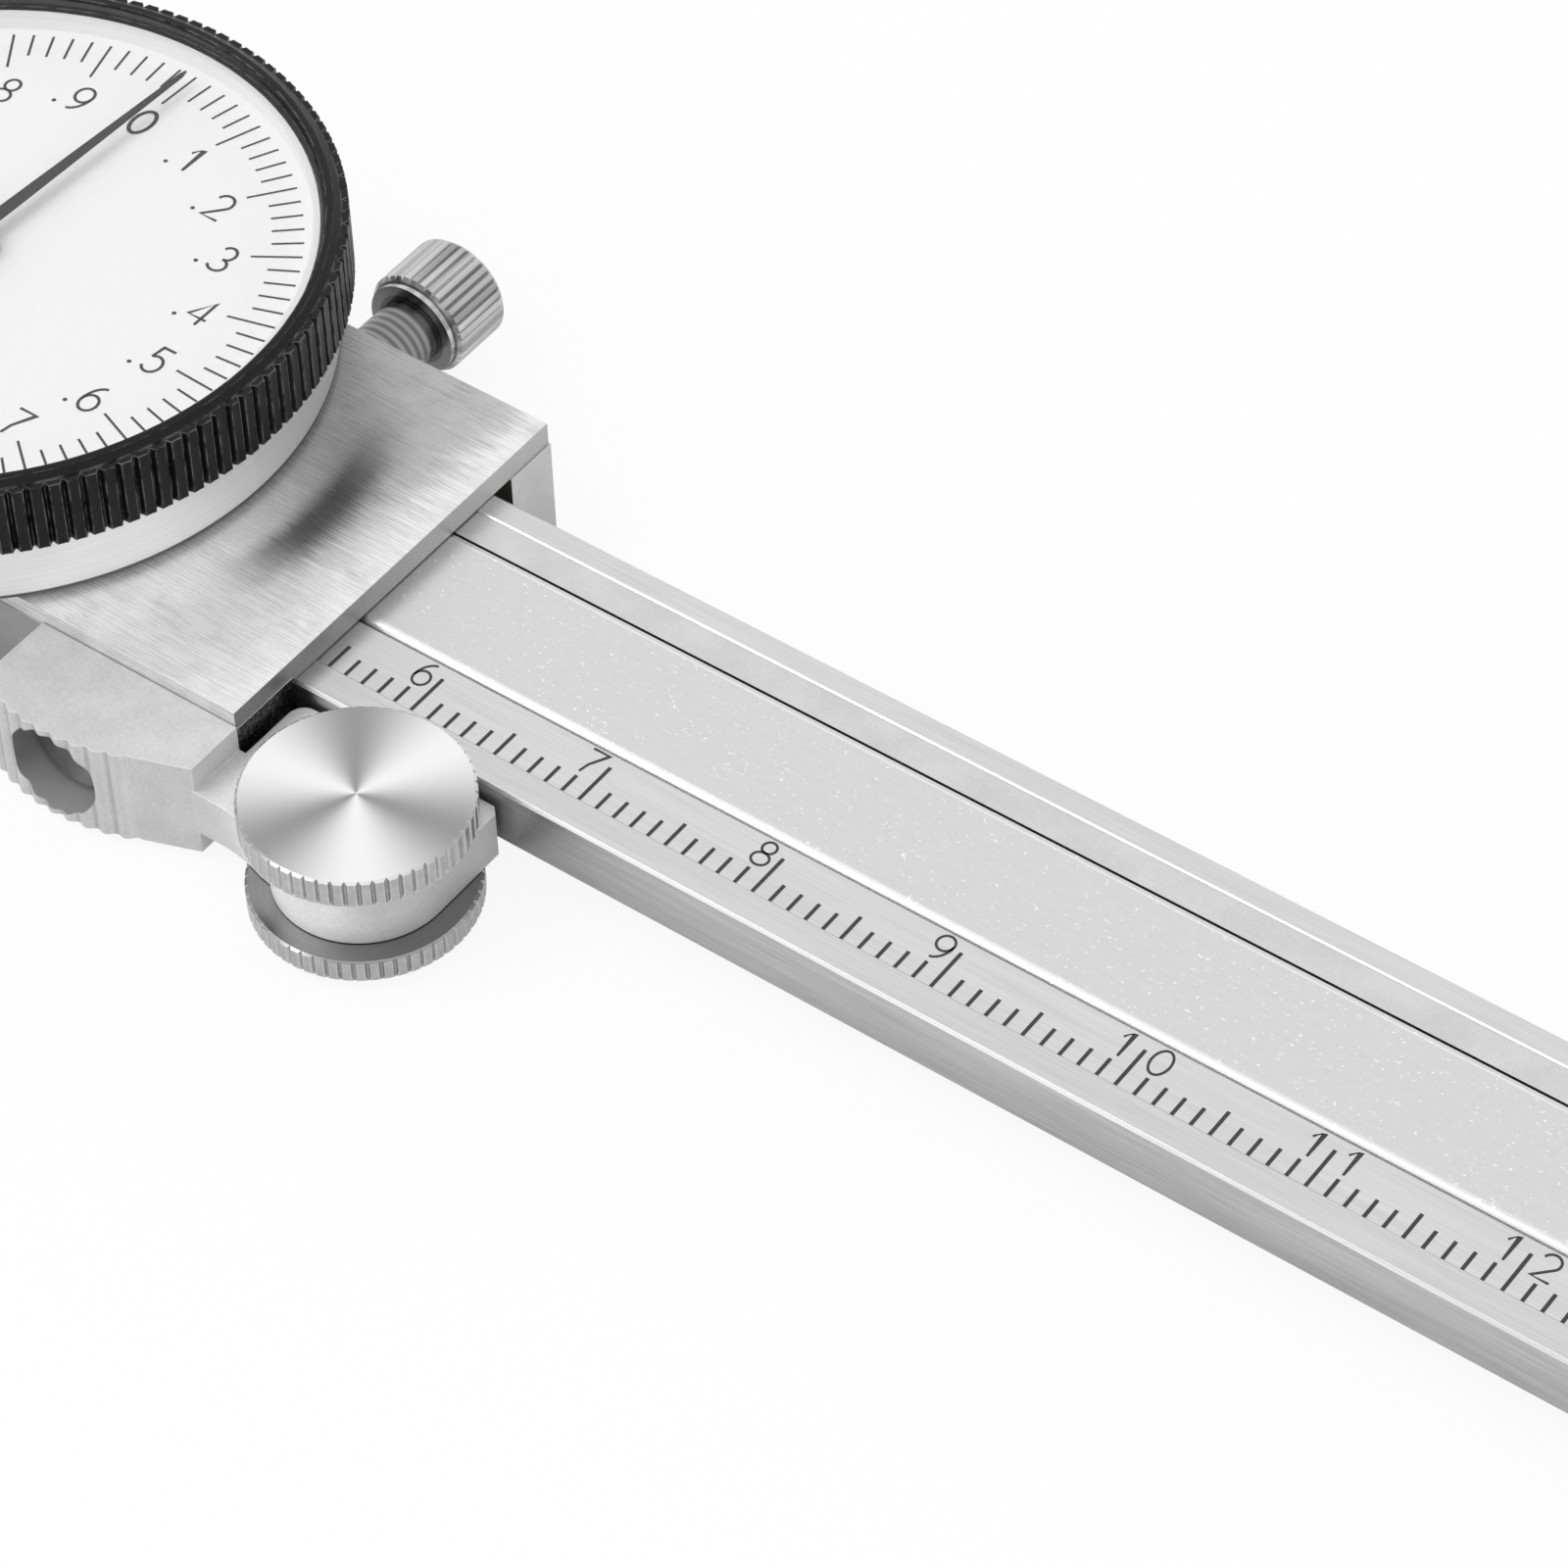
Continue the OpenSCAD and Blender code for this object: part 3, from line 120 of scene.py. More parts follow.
class Value:
    """A number that changes over a surface."""

    def __init__(self, shading, socket):
        self.shading = shading
        self.socket = socket

    def __add__(self, other):
        return self.shading.math("ADD", self, other)

    def __sub__(self, other):
        return self.shading.math("SUBTRACT", self, other)

    def __rsub__(self, other):
        return self.shading.math("SUBTRACT", other, self)

    def __mul__(self, other):
        return self.shading.math("MULTIPLY", self, other)

    def __truediv__(self, other):
        return self.shading.math("DIVIDE", self, other)

    __radd__ = __add__
    __rmul__ = __mul__

    def step(self, start, end):
        """0 at start and 1 at end, smooth between them."""
        sockets = {"Value": self, "From Min": start, "From Max": end}
        return self.shading.node("ShaderNodeMapRange", {"interpolation_type": "SMOOTHSTEP"}, sockets)

    def spread(self):
        """Noise, stretched so that its usual range runs from 0 to 1."""
        return self.step(0.3, 0.7)

    def near(self, place, inner, outer):
        """1 within inner of a place and 0 beyond outer."""
        return 1 - self.shading.math("ABSOLUTE", self - place).step(inner, outer)


def blend(start, end, factor):
    return factor * (end - start) + start


def shade(mask, share):
    """A factor that takes that share of the light away where the mask is 1."""
    return 1 - mask * share


class Shading:
    """The nodes of one material, or of the world."""

    def __init__(self, tree):
        self.tree = tree

    def put(self, socket, value):
        if isinstance(value, Value):
            self.tree.links.new(value.socket, socket)
        else:
            socket.default_value = value

    def node(self, kind, settings, sockets, output=0):
        made = self.tree.nodes.new(kind)
        for name, value in settings.items():
            setattr(made, name, value)
        for name, value in sockets.items():
            self.put(made.inputs[name], value)
        return Value(self, made.outputs[output])

    def math(self, operation, *terms):
        return self.node("ShaderNodeMath", {"operation": operation}, dict(enumerate(terms)))

    def seen(self, straight, mirrored):
        """One share of white for the camera itself, and one for what shows in metal or glass."""
        camera, glossy, through = (
            self.node("ShaderNodeLightPath", {}, {}, f"Is {kind} Ray")
            for kind in ("Camera", "Glossy", "Transmission")
        )
        reflected = self.math("MAXIMUM", glossy, through) * mirrored
        return self.math("MAXIMUM", camera * straight, reflected)


class Finish(Shading):
    """A finish: keywords set what is the same all over, and the methods add what changes."""

    def __init__(self, name, metallic=1.0, **constants):
        self.material = bpy.data.materials.new(name)
        self.material.use_nodes = True
        super().__init__(self.material.node_tree)
        self.shader = self.tree.nodes["Principled BSDF"]
        self.shader.inputs["Metallic"].default_value = metallic
        for key, value in constants.items():
            self.shader.inputs[key.replace("_", " ")].default_value = value
        self.x, self.y, self.z = (part / MM for part in self.parts("Object"))
        self.right, self.rear, self.up = self.parts("Normal")

    def parts(self, output):
        whole = self.node("ShaderNodeTexCoord", {}, {}, output)
        return [self.node("ShaderNodeSeparateXYZ", {}, {0: whole}, i) for i in range(3)]

    def noise(self, x, y, z, detail=2.0, rough=0.5):
        """Noise from 0 to 1 about 0.5; its features are about one unit across."""
        place = self.node("ShaderNodeCombineXYZ", {}, {"X": x, "Y": y, "Z": z})
        sockets = {"Vector": place, "Scale": 1.0, "Detail": detail, "Roughness": rough}
        return self.node("ShaderNodeTexNoise", {}, sockets)

    def grain(self, along, across, detail=3.0):
        """Brushed lines along X, of that length and width."""
        return self.noise(self.x / along, self.y / across, self.z / across, detail, 0.6)

    def mottle(self, size, detail=2.0):
        """Spots of that size."""
        return self.noise(self.x / size, self.y / size, self.z / size, detail)

    def clouded(self, fine):
        """Fine spots together with broad ones, from 0 to 1."""
        return (fine * 0.5 + self.mottle(2.2) * 0.5).spread()

    def offsets(self, centre, lying):
        """The two offsets from an upright axis, or from one that lies along Y."""
        across = self.z - centre.z / MM if lying else self.y - centre.y / MM
        return self.x - centre.x / MM, across

    def from_axis(self, centre, lying=False):
        """Distance from an axis."""
        dx, across = self.offsets(centre, lying)
        return self.math("SQRT", dx * dx + across * across)

    def angle(self, centre, lying=False):
        """Angle round an axis, counted from X."""
        dx, across = self.offsets(centre, lying)
        return self.math("ARCTAN2", across, dx)

    def rings(self, centre, pitch):
        """Turned rings about an upright axis."""
        return self.noise(self.from_axis(centre) / pitch, 0.0, self.z / pitch)

    def edges(self, radius):
        """0 on open faces and 1 where two faces meet, over that width."""
        rounded = self.node("ShaderNodeBevel", {"samples": 4}, {"Radius": radius * MM})
        flat = self.node("ShaderNodeNewGeometry", {}, {}, "Normal")
        dot = {"operation": "DOT_PRODUCT"}
        same = self.node("ShaderNodeVectorMath", dot, {0: rounded, 1: flat}, "Value")
        return 1 - same.step(0.85, 1.0)

    def on_top(self, top, side):
        """Painted light and shade by facing: one value on faces that look up and another on upright ones."""
        return blend(side, top, self.up.step(0.3, 0.8))

    def grey(self, value):
        self.put(self.shader.inputs["Base Color"], value)

    def colour(self, dark, light, factor):
        sockets = {"Factor": factor, "A": (*dark, 1), "B": (*light, 1)}
        mixed = self.node("ShaderNodeMix", {"data_type": "RGBA"}, sockets, "Result")
        self.put(self.shader.inputs["Base Color"], mixed)

    def rough(self, value):
        self.put(self.shader.inputs["Roughness"], value)

    def relief(self, height, depth, rounding=0.0):
        """Height from 0 to 1 times depth, over edges rounded by that radius."""
        sockets = {"Strength": 1.0, "Distance": depth * MM, "Height": height}
        if rounding:
            sockets["Normal"] = self.node("ShaderNodeBevel", {"samples": 4}, {"Radius": rounding * MM})
        self.put(self.shader.inputs["Normal"], self.node("ShaderNodeBump", {}, sockets))


# Steel that is brushed along the caliper

# Where the scale's strip meets the ground lip in front of it; a painted shade line runs there
LIP_END = -6.05
# Between these heights the beam's side grows lighter: painted shade towards its foot
BEAM_FOOT, BEAM_SHOULDER = STRIP_Z / MM - 3.5, STRIP_Z / MM - 0.5
# Where a painted highlight runs along the depth rod, near its rear edge
ROD_HIGHLIGHT_Y = high("depth_rod").y / MM - 0.27


def beam_steel():
    """Beam: ground strips over sides in painted shade, with a painted shade line between scale and lip."""
    f = Finish("beam_steel")
    lines = f.grain(along=5.0, across=0.08)
    broad = f.grain(along=15.0, across=0.7, detail=1.0)
    light = (lines * 0.7 + broad * 0.3).spread()
    lip = 1 - f.y.step(LIP_END - 0.02, LIP_END + 0.02)
    # Painted shade line at the step between scale and lip
    line = f.y.near(LIP_END, 0.02, 0.07)
    top = blend(0.62, 0.72, light) * shade(lip, 0.04) * shade(line, 0.18)
    # Painted shade on the sides, darker towards their foot
    side = blend(0.42, 0.58, light) * blend(0.84, 1.02, f.z.step(BEAM_FOOT, BEAM_SHOULDER))
    f.grey(f.on_top(top, side))
    f.rough(blend(0.28, 0.4, lines))
    f.relief(lines, depth=0.002, rounding=0.05)
    return f.material


# Painted highlight: the plate is bright in front, which fades a little along it, and in a band at its right end
COVER_END = high("cover_plate").x / MM
HIGHLIGHT_START, HIGHLIGHT_FULL = COVER_END - 3.6, COVER_END - 1.0
FADE_START, FADE_END = 47.0, 53.0
# Towards the rear the plate lies in painted shade, and its end face turns from painted shade in front to light at
# the rear
REAR_SHADE_START, REAR_SHADE_FULL = -5.5, 4.5
END_DARK, END_LIGHT = -9.0, 6.0
# The dark streak is a painted reflection of the bezel: an arc about the dial's axis that comes and goes from front
# to rear
REFLECTION_R = 21.2
REFLECTION_FRONT, REFLECTION_REAR = (-6.5, -0.5), (2.0, 10.0)


def cover_brushed():
    """Cover plate: short coarse strokes with scuffs, painted highlights in front and at the right end, painted
    shade at the rear, and a painted reflection of the bezel as a dark streak beside the case.
    """
    f = Finish("cover_brushed", metallic=0.3)
    strokes = f.grain(along=2.0, across=0.07)
    long = f.grain(along=9.0, across=0.12, detail=1.0)
    cloud = f.mottle(1.1)
    light = (strokes * 0.5 + long * 0.25 + cloud * 0.25).step(0.34, 0.66)
    ragged = strokes - 0.5
    # Painted highlight band along the right end, with ragged borders
    highlight_band = (f.x - f.y * 0.07 + ragged * 4).step(HIGHLIGHT_START, HIGHLIGHT_FULL)
    # Painted shade towards the rear, outside the highlight band
    rear_shade = (f.y + ragged * 2).step(REAR_SHADE_START, REAR_SHADE_FULL) * (1 - highlight_band)
    radius = f.from_axis(DIAL) + ragged * 1.6
    inner = radius.step(REFLECTION_R - 1.7, REFLECTION_R - 0.3)
    outer = 1 - radius.step(REFLECTION_R + 0.3, REFLECTION_R + 2.1)
    right_side = f.x.step(DIAL.x / MM, DIAL.x / MM + 10)
    # Painted reflection of the bezel as a dark streak on the right of the case
    bezel_reflection = inner * outer * right_side * f.y.step(*REFLECTION_FRONT) * (1 - f.y.step(*REFLECTION_REAR))
    # Painted highlight in front, fading a little along the plate
    front_highlight = blend(1.0, 0.9, f.x.step(FADE_START, FADE_END))
    scuffs = f.mottle(2.4).step(0.52, 0.72) * f.grain(along=1.0, across=0.09).step(0.42, 0.62)
    top = blend(front_highlight, 0.56, rear_shade) * blend(0.82, 1.08, light) * shade(bezel_reflection, 0.8) * shade(scuffs, 0.22)
    # End face in painted shade at the front, lighter towards the rear
    end = blend(0.2, 0.46, f.y.step(END_DARK, END_LIGHT)) + cloud * 0.06
    side = blend(0.56, 0.8, light)
    # Painted light and shade by facing: the sides and the end face take their own values
    upright = blend(side, end, f.right.step(0.4, 0.9))
    f.grey(f.on_top(top, upright))
    f.rough(blend(0.2, 0.36, strokes))
    f.relief(strokes, depth=0.012, rounding=0.06)
    return f.material


def rod_brushed():
    """Depth rod: fine lines with small grains that carry painted glints, and a painted highlight near its rear
    edge.
    """
    f = Finish("rod_brushed")
    lines = f.grain(along=3.0, across=0.09)
    # Small grains in the bump, lit with painted glints in the colour
    glint_grains = f.noise(f.x / 0.22, f.y / 0.17, f.z / 0.17).step(0.64, 0.76)
    cloud = f.mottle(0.35, detail=3.0)
    # Painted highlight line near the rear edge
    rear_highlight = f.y.near(ROD_HIGHLIGHT_Y, 0.03, 0.08)
    f.grey(blend(0.62, 0.74, (lines + cloud) * 0.5) + glint_grains * 0.28 + rear_highlight * 0.14)
    f.rough(blend(0.28, 0.4, lines))
    f.relief(lines * 0.4 + glint_grains, depth=0.003)
    return f.material


# Satin steel

def satin(name, top, side, rough, size, rounding=0.0):
    """Plain satin steel, with painted light and shade by facing; its fine spots have that size."""
    f = Finish(name)
    fine = f.mottle(size, detail=3.0)
    f.grey(f.on_top(top, side) * blend(0.92, 1.06, f.clouded(fine)))
    f.rough(blend(rough - 0.075, rough + 0.075, fine))
    f.relief(fine, depth=0.0015, rounding=rounding)
    return f.material


# The slider's end face carries painted shade in front and painted light at the rear
SLIDER_END = high("slider_body").x / MM
DARK_FRONT, LIGHT_REAR = -6.0, 5.0


def slider_steel():
    """Slider and jaws: satin, with a speckled end by the arm in painted shade that turns to painted light at the
    rear wall.
    """
    f = Finish("slider_steel")
    fine = f.mottle(0.12, detail=3.0)
    light = f.clouded(fine)
    speckle = f.mottle(0.2, detail=3.0).step(0.45, 0.75)
    # Painted light and shade by facing
    plain = f.on_top(0.6, 0.34) * blend(0.9, 1.06, light)
    # End face: speckled painted shade in front, painted light towards the rear wall
    end = blend(speckle * 0.24 + 0.03, blend(0.52, 0.62, light), f.y.step(DARK_FRONT, LIGHT_REAR))
    at_end = f.x.step(SLIDER_END - 0.08, SLIDER_END - 0.04) * f.right.step(0.4, 0.9)
    # Painted highlights along the edges
    f.grey(blend(plain, end, at_end) + f.edges(0.08) * 0.2)
    f.rough(blend(0.28, 0.43, fine))
    f.relief(fine, depth=0.0015, rounding=0.06)
    return f.material


# The thumb block's serrations run from its left end to just before the arm; their valleys get painted shade
SERRATION_START = low("thumb_block").x / MM
SERRATION_END = SLIDER_END - 3.6
SERRATION_PITCH = 1.0
BORE_R = (high("block_screw").x - low("block_screw").x) / 2 / MM + 0.26


def block_satin():
    """Thumb block and arm: soft satin, with painted light on the arm, painted shade in the valleys and in the
    counterbore for the screw, and painted highlights on edges.
    """
    f = Finish("block_satin", metallic=0.25, Specular_IOR_Level=0.3)
    fine = f.mottle(0.2, detail=3.0)
    # Painted light on the arm's sides, rising towards the roller, and on the block's right face
    arm = f.x.step(SLIDER_END, SLIDER_END + 2.0) * (1 - f.right.step(0.2, 0.9))
    arm_side_light = blend(0.1, 0.5, f.x.step(SLIDER_END + 1.0, SLIDER_END + 6.0))
    corner = (1 - f.x.step(SLIDER_END, SLIDER_END + 0.5)) * f.right.step(0.5, 0.9)
    painted_light = arm * f.on_top(0.25, arm_side_light) + corner * 0.3
    wave = f.math("SINE", (f.x - SERRATION_START) * (math.pi / SERRATION_PITCH))
    on_front = (1 - f.x.step(SERRATION_END - 0.1, SERRATION_END)) * (1 - f.rear.step(-0.9, -0.5))
    # Painted shade in the valleys of the serrations on the front
    valley_shade = wave.near(0.0, 0.0, 0.5) * on_front
    # Painted light and shade by facing, with painted highlights along the edges
    plain = f.on_top(0.72, 0.6) * blend(0.9, 1.06, f.clouded(fine))
    plain = plain * (painted_light + 1) * shade(valley_shade, 0.3) + f.edges(0.09) * 0.35
    # Painted shade in the counterbore, a little lighter on its upward faces
    bore_shade = 1 - f.from_axis(BORE, lying=True).step(BORE_R, BORE_R + 0.06)
    f.grey(blend(plain, blend(0.26, 0.4, f.up.step(0.2, 0.9)), bore_shade))
    f.rough(blend(0.42, 0.57, fine))
    f.relief(fine, depth=0.0015, rounding=0.08)
    return f.material


# Turned and bright steel

ROLLER_FACE = high("roller_top").z / MM
# Painted reflections on the roller's turned face: this many light and dark sectors, turned this far from X
REFLECTION_SECTORS = 3
REFLECTION_TURN = math.radians(70)


def roller_bright():
    """Thumb roller: painted reflections as light and dark sectors on its turned face, painted shade on the lower
    disc, and painted highlights on its side's edges.
    """
    f = Finish("roller_bright")
    rings = f.rings(ROLLER, 0.05)
    # Painted reflections: light and dark sectors round the face
    wave = f.math("COSINE", (f.angle(ROLLER) - REFLECTION_TURN) * REFLECTION_SECTORS)
    reflected_sectors = f.math("POWER", wave * 0.49 + 0.5, 0.85)
    high_face = blend(0.32, 0.92, reflected_sectors) * blend(0.96, 1.04, rings)
    # Painted shade on the lower disc's face
    shaded_low_face = blend(0.2, 0.36, rings)
    face = blend(shaded_low_face, high_face, f.z.step(ROLLER_FACE - 0.5, ROLLER_FACE - 0.3))
    # The side in painted shade by facing, with painted highlights along its edges
    side = blend(0.36, 0.54, f.mottle(0.4)) + f.edges(0.09) * 0.3
    f.grey(blend(side, face, f.up.step(0.5, 0.9)))
    f.rough(blend(0.18, 0.26, rings))
    f.relief(rings, depth=0.001)
    return f.material


PLATE_TOP = high("cover_plate").z / MM


def case_turned():
    """Dial case: fine turned lines, in painted light in front and painted shade at the rear, over a painted shadow
    line at its foot.
    """
    f = Finish("case_turned", metallic=0.2)
    rings = f.rings(DIAL, 0.22)
    # Painted light and shade by facing: the side is light in front and grey at the rear
    side = blend(1.0, 0.5, f.rear.step(-0.45, 0.5))
    # Painted shadow line at the case's foot
    foot_shadow = 1 - f.z.step(PLATE_TOP + 0.44, PLATE_TOP + 0.52)
    f.grey(f.on_top(0.6, side) * blend(0.84, 1.1, rings) * shade(foot_shadow, 0.88))
    f.rough(blend(0.21, 0.31, rings))
    f.relief(rings, depth=0.004)
    return f.material


def turned(name, dark, light, rough, rounding=0.0, edge_highlight=0.0):
    """Plain turned steel; the last argument is how much painted highlight lightens its edges."""
    f = Finish(name)
    fine = f.noise(f.x / 0.2, f.y / 0.2, f.z / 0.05, detail=3.0)
    # Painted highlights along the edges
    f.grey(blend(dark, light, fine.spread()) + f.edges(0.1) * edge_highlight)
    f.rough(blend(rough - 0.07, rough + 0.07, fine))
    f.relief(fine, depth=0.002, rounding=rounding)
    return f.material


STEM_R = 2.0
THREAD_PITCH = 0.5


def knob_bright():
    """Lock screw: ribs with painted highlights as bright and grey streaks, a turned face in painted shade, and a
    stem in painted shade with painted thread lines.
    """
    f = Finish("knob_bright")
    fine = f.noise(f.x / 0.2, f.y / 0.06, f.z / 0.2, detail=3.0)
    # Painted highlights: bright and grey streaks round the ribs
    rib_highlights = f.noise(f.angle(LOCK, lying=True) * 3, f.y / 20, 0.0, detail=1.0).step(0.4, 0.65)
    ribs = blend(0.34, 0.66, rib_highlights) * blend(0.9, 1.08, fine)
    # Painted shade on the turned face
    face = 1 - f.rear.step(-0.95, -0.7)
    knob = blend(ribs, blend(0.24, 0.36, fine), face)
    # Painted shade on the stem, with painted lighter and darker lines for its thread
    thread = f.math("SINE", f.y * (math.tau / THREAD_PITCH)) * 0.5 + 0.5
    stem = 1 - f.from_axis(LOCK, lying=True).step(STEM_R, STEM_R + 0.1)
    f.grey(blend(knob, blend(0.13, 0.3, thread), stem))
    f.rough(blend(0.18, 0.3, fine))
    f.relief(fine, depth=0.002, rounding=0.04)
    return f.material


def brass(name):
    f = Finish(name)
    fine = f.mottle(0.2, detail=3.0)
    f.colour((0.58, 0.43, 0.2), (0.74, 0.58, 0.32), fine.spread())
    f.rough(blend(0.2, 0.35, fine))
    f.relief(fine, depth=0.002)
    return f.material


# Bezel, crystal, dial and ink

def bezel_black():
    """Bezel: satin black, with painted highlights in patches along the edges of its ribs."""
    f = Finish("bezel_black", metallic=0.0, Specular_IOR_Level=0.2)
    fine = f.mottle(0.1, detail=3.0)
    # Painted highlights along the rib edges, in patches
    edge_highlight = f.edges(0.12) * f.mottle(0.8).step(0.35, 0.65)
    f.grey(blend(0.003, 0.009, fine.spread()) + edge_highlight * 0.22)
    f.rough(blend(0.24, 0.4, fine))
    f.relief(fine, depth=0.003, rounding=0.04)
    return f.material


def crystal_clear():
    """Clear cover that mirrors a little of the studio."""
    return Finish("crystal_clear", Base_Color=(1, 1, 1, 1), Roughness=0.03, Alpha=0.035).material


def dial_white():
    f = Finish("dial_white", metallic=0.0, Roughness=0.45)
    fine = f.mottle(0.3)
    f.grey(blend(0.88, 0.92, fine))
    f.relief(fine, depth=0.001)
    return f.material


def ink(name, value, rough=0.5):
    f = Finish(name, metallic=0.0, Roughness=rough, Specular_IOR_Level=0.2)
    f.grey(blend(value * 0.7, value * 1.6, f.mottle(0.05).step(0.35, 0.7)))
    return f.material


MATERIALS = {
    "beam_steel": beam_steel(),
    "rack_steel": satin("rack_steel", top=0.66, side=0.4, rough=0.36, size=0.12),
    "end_nickel": satin("end_nickel", top=0.78, side=0.6, rough=0.16, size=0.6, rounding=0.08),
    "slider_steel": slider_steel(),
    "cover_brushed": cover_brushed(),
    "screw_steel": turned("screw_steel", dark=0.24, light=0.5, rough=0.3, rounding=0.06, edge_highlight=0.5),
    "gib_brass": brass("gib_brass"),
    "rod_brushed": rod_brushed(),
    "block_satin": block_satin(),
    "roller_bright": roller_bright(),
    "knob_bright": knob_bright(),
    "case_turned": case_turned(),
    "bezel_black": bezel_black(),
    "crystal_clear": crystal_clear(),
    "dial_white": dial_white(),
    "pointer_black": ink("pointer_black", 0.012, rough=0.35),
    "movement_brass": brass("movement_brass"),
    "spring_steel": turned("spring_steel", dark=0.4, light=0.55, rough=0.3),
}


def paint_nodes():
    for part in frame["record"]["subparts"]:
        mesh = frame["nodes"][part["node"]].data
        mesh.materials.clear()
        mesh.materials.append(MATERIALS[part["material_slot"]])


paint_nodes()


# Printed and engraved marks: flat strips laid on their surface

ARC_STEP = 15
MITRE_LIMIT = 0.5
DOT_SIDES = 16


def oval(cx, cy, rx, ry, start, end):
    """Points along an oval, between two angles in degrees."""
    steps = max(4, round(abs(end - start) / ARC_STEP))
    angles = [math.radians(start + (end - start) * i / steps) for i in range(steps + 1)]
    return [(cx + rx * math.cos(a), cy + ry * math.sin(a)) for a in angles]


def turn_over(strokes):
    return [[(1 - x, 1 - y) for x, y in stroke] for stroke in strokes]


SIX = [oval(0.80, 0.30, 0.72, 0.70, 97, 180), oval(0.5, 0.31, 0.42, 0.31, 0, 360)]

# Each sign is drawn in a box one unit wide and one high, stroke by stroke
SIGNS = {
    "0": [oval(0.5, 0.5, 0.46, 0.5, 0, 360)],
    "1": [[(0.18, 0.72), (0.55, 1.0), (0.55, 0.0)]],
    "2": [oval(0.5, 0.71, 0.42, 0.29, 165, -35) + [(0.06, 0.0), (0.95, 0.0)]],
    "3": [oval(0.48, 0.74, 0.36, 0.26, 155, -90), oval(0.47, 0.25, 0.43, 0.25, 90, -155)],
    "4": [[(0.72, 0.0), (0.72, 1.0), (0.04, 0.28), (0.98, 0.28)]],
    "5": [[(0.88, 1.0), (0.26, 1.0), (0.16, 0.56)] + oval(0.47, 0.32, 0.43, 0.32, 128, -150)],
    "6": SIX,
    "7": [[(0.05, 1.0), (0.94, 1.0), (0.42, 0.36), (0.32, 0.0)]],
    "8": [oval(0.5, 0.76, 0.34, 0.24, 0, 360), oval(0.5, 0.26, 0.43, 0.26, 0, 360)],
    "9": turn_over(SIX),
    "c": [oval(0.5, 0.5, 0.44, 0.5, 50, 310)],
    "m": [[(0.0, 0.0), (0.0, 1.0)],
          oval(0.25, 0.6, 0.25, 0.4, 180, 0) + [(0.5, 0.0)],
          oval(0.75, 0.6, 0.25, 0.4, 180, 0) + [(1.0, 0.0)]],
}


def strip(bm, points, width, z):
    """A flat strip of that width, bent along a line of plan points and cut square at its ends."""
    last = len(points) - 1
    closed = points[0] == points[last]
    made = bmesh.ops.create_grid(bm, x_segments=last, y_segments=1, size=0.5)
    for vert in made["verts"]:
        i = round((vert.co.x + 0.5) * last)
        here = points[i]
        before = points[last - 1] if closed and i == 0 else points[max(i - 1, 0)]
        after = points[1] if closed and i == last else points[min(i + 1, last)]
        along = (after - before).normalized()
        into = (here - before).normalized() if i or closed else along
        reach = width * vert.co.y / max(MITRE_LIMIT, abs(into.dot(along)))
        vert.co = (here.x - along.y * reach, here.y + along.x * reach, z)


def dot(bm, centre, radius, z):
    place = Matrix.Translation((*centre, z))
    bmesh.ops.create_circle(bm, cap_ends=True, segments=DOT_SIDES, radius=radius, matrix=place)


def sign(bm, letter, corner, width, height, line, z):
    """A sign with its lower left corner at that plan point, upright along Y."""
    for stroke in SIGNS[letter]:
        strip(bm, [corner + Vector((x * width, y * height)) for x, y in stroke], line, z)


def marks(name, bm, material, body):
    """Makes the strips one piece that rides on that body."""
    mesh = bpy.data.meshes.new(name)
    bm.to_mesh(mesh)
    bm.free()
    mesh.materials.append(material)
    piece = bpy.data.objects.new(name, mesh)
    scene.collection.objects.link(piece)
    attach(piece, body)


INK_LIFT = 0.012 * MM

# The beam's scale, in millimetres with a number at each centimetre
CENTIMETRE, HALF_CENTIMETRE = 10, 5
SCALE_LENGTH = 150
SCALE_FOOT = LIP_END * MM
TICK_SHORT, TICK_HALF, TICK_LONG = 1.2 * MM, 1.655 * MM, 2.5 * MM
TICK_WIDTH = 0.19 * MM
DIGIT_FOOT = 1.5 * MM
DIGIT_WIDTH, DIGIT_HEIGHT = 1.05 * MM, 1.54 * MM
DIGIT_LINE = 0.13 * MM
ONE_LEFT, TEN_RIGHT = 0.38 * MM, 0.45 * MM
UNIT_HEIGHT, UNIT_M_WIDTH = 1.1 * MM, 1.7 * MM
UNIT_C_AT, UNIT_M_AT = 3.1 * MM, 5.0 * MM


def tick_length(mm):
    if mm % CENTIMETRE == 0:
        return TICK_LONG
    return TICK_HALF if mm % HALF_CENTIMETRE == 0 else TICK_SHORT


def scale_marks():
    bm = bmesh.new()
    z = STRIP_Z + INK_LIFT
    for mm in range(SCALE_LENGTH + 1):
        x = mm * MM
        tip = SCALE_FOOT + tick_length(mm)
        strip(bm, [Vector((x, SCALE_FOOT)), Vector((x, tip))], TICK_WIDTH, z)
    foot = SCALE_FOOT + DIGIT_FOOT
    for cm in range(SCALE_LENGTH // CENTIMETRE + 1):
        x = cm * CENTIMETRE * MM
        places = [x - ONE_LEFT - DIGIT_WIDTH, x + TEN_RIGHT]
        for digit, left in zip(str(cm), places):
            sign(bm, digit, Vector((left, foot)), DIGIT_WIDTH, DIGIT_HEIGHT, DIGIT_LINE, z)
    end = SCALE_LENGTH * MM
    sign(bm, "c", Vector((end + UNIT_C_AT, foot)), DIGIT_WIDTH, UNIT_HEIGHT, DIGIT_LINE, z)
    sign(bm, "m", Vector((end + UNIT_M_AT, foot)), UNIT_M_WIDTH, UNIT_HEIGHT, DIGIT_LINE, z)
    marks("scale_marks", bm, ink("scale_ink", 0.05), "frame")


scale_marks()

# The dial: 100 divisions of 0.02 mm, numbered twice round from 0 to .9
DIVISIONS = 100
LONG_EACH = 5
NUMERALS = 10
